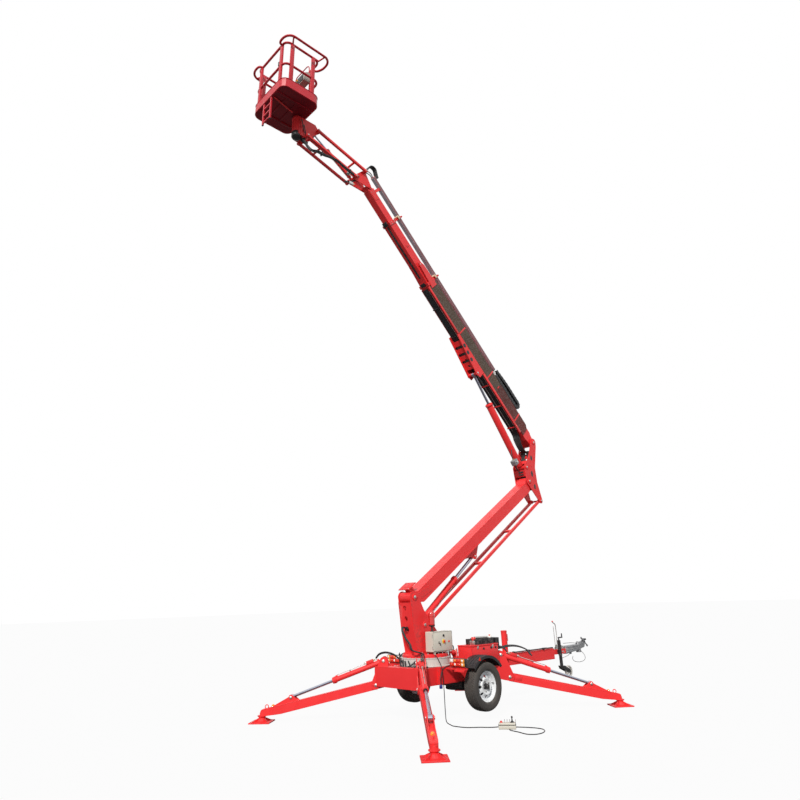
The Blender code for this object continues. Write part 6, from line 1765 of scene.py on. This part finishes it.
    face, y0, y1, z0, z1 = basket["panel"]
    back, deck = -3.2056, z0 + 0.245
    panel = [(plateOf([(face + 0.001, z0), (back, z0), (back, deck), (-3.27, deck), (face + 0.001, deck - 0.06)], y0,
        y1, 0.006), boxGrey)]
    panel += [
        (boxOf((face - 0.006, face + 0.004), (y0 + 0.030, y1 - 0.030), (z0 + 0.02, deck - 0.07), 0.003),
        blackPlastic),
        (boxOf((-3.268, back - 0.004), (y0 + 0.02, y1 - 0.02), (deck - 0.002, deck + 0.006), 0.002), blackPlastic)]
    front = face - 0.006
    for jy in (-0.12, 0.14):
        panel.append((turnedOf([(0.0, 0.085), (0.011, 0.083), (0.013, 0.066), (0.008, 0.040), (0.019, 0.018),
            (0.027, 0.0)], (-3.24, jy, deck + 0.005), (0, 0, 1), 28), blackPlastic))
    panel.append((tubeOf([(-3.225, y0 + 0.02, deck - 0.03), (-3.225, y0 + 0.02, z1 - 0.07),
        (-3.24, y0 + 0.06, z1 - 0.012), (-3.24, 0.0, z1 - 0.010), (-3.24, y1 - 0.06, z1 - 0.012),
                          (-3.225, y1 - 0.02, z1 - 0.07), (-3.225, y1 - 0.02, deck - 0.03)], 0.010, 12, steps=6),
                          basketRed))
    panel += [
        (turnedOf([(0.0, 0.003), (0.028, 0.003), (0.029, 0.0)], (front, 0.01, z0 + 0.14), (-1, 0, 0), 32),
        yellowPlate),
        (turnedOf([(0.0, 0.028), (0.014, 0.027), (0.018, 0.022), (0.018, 0.015), (0.010, 0.011), (0.010, 0.003)],
        (front, 0.01, z0 + 0.14), (-1, 0, 0), 28), redKnob)]
    for k in range(5):
        ty = -0.15 + k * 0.075
        panel += [
            (rodOf((front, ty, z0 + 0.06), (front - 0.018, ty, z0 + 0.068), 0.0035, 10), zincSteel),
            (turnedOf([(0.0, 0.004), (0.007, 0.003), (0.008, 0.0)], (front, ty, z0 + 0.06), (-1, 0, 0), 16),
            zincSteel)]
    panel += [
        (rodOf((-3.27, 0.02, z0 - 0.002), (-3.27, 0.02, z0 - 0.030), 0.014, 12), blackPlastic),
        (tubeOf([(-3.27, 0.02, z0 - 0.028), (-3.25, 0.03, z0 - 0.20), (-3.235, 0.06, z0 - 0.42),
        (-3.20, 0.10, z0 - 0.545), (-3.175, 0.14, z0 - 0.565)], 0.009, 10), hoseRubber)]
    piece("basketPanel", "platform", panel, replaced=("platform_controls",))


basketRed = finish("basketRed", (0.62, 0.022, 0.036), 0.38, shade=(0.44, 0.012, 0.024), tone=0.5, dust=0.04, wear=0.4,
    wearColour=(0.3, 0.03, 0.04), gloss=0.35)
# painted shade: dark maroon for the parts under the platform floor
basketUnderShade = finish("basketUnderShade", (0.26, 0.010, 0.020), 0.45, shade=(0.15, 0.008, 0.014), tone=0.7, dust=0.0,
    gloss=0.25)
makeBasket()
nodes["platform"].data.materials.clear()
nodes["platform"].data.materials.append(basketRed)
print("basket ready")

# Pendant control on the floor.
remote = {"place": (-0.33, -1.42, 0), "turn": -53}


def makeRemote():
    place = placed(remote["place"], math.radians(remote["turn"]))
    parts = [(boxOf((-0.118, 0.118), (-0.058, 0.058), (0.0008, 0.050), 0.006), boxCream),
             (boxOf((-0.113, 0.113), (-0.053, 0.053), (0.050, 0.075), 0.008), boxCream),
             (boxOf((-0.1195, 0.1195), (-0.0595, 0.0595), (0.047, 0.052), 0.001), blackPlastic)]
    parts += [
        (turnedOf([(0.024, 0.075), (0.024, 0.081), (0.018, 0.090), (0.009, 0.098), (0.007, 0.125), (0.011, 0.130),
        (0.012, 0.144), (0.008, 0.150), (0.0, 0.151)], (0.07, 0, 0), (0, 0, 1), 32), blackPlastic),
        (turnedOf([(0.018, 0.075), (0.018, 0.083), (0.015, 0.085), (0.015, 0.090), (0.012, 0.095), (0.0, 0.096)],
        (-0.08, 0, 0), (0, 0, 1), 32), redKnob)]
    for k in range(3):
        px = -0.035 + k * 0.034
        parts += [
            (turnedOf([(0.008, 0.075), (0.008, 0.080), (0.004, 0.082), (0.0, 0.082)], (px, 0, 0), (0, 0, 1), 16),
            zincSteel),
            (rodOf((px, 0, 0.080), (px + 0.003, 0.004, 0.104), 0.003, 10), zincSteel),
            (turnedOf([(0.0, 0.008), (0.005, 0.007), (0.006, 0.0)], (px + 0.003, 0.004, 0.101), (0.1, 0.15, 1), 14),
            blackPlastic)]
    for px in (-0.098, 0.098):
        for py in (-0.040, 0.040):
            parts.append((turnedOf([(0.0, 0.002), (0.004, 0.0015), (0.005, 0.0)], (px, py, 0.075), (0, 0, 1), 12),
                zincSteel))
    guard = [(0.112, -0.045, 0.074), (0.116, -0.045, 0.100), (0.116, 0.045, 0.100), (0.112, 0.045, 0.074)]
    parts.append((tubeOf(guard, 0.004, 8, steps=5), zincSteel))
    piece("remote", "chassis", parts, place, replaced=("pendant",))


makeRemote()
print("remote ready")
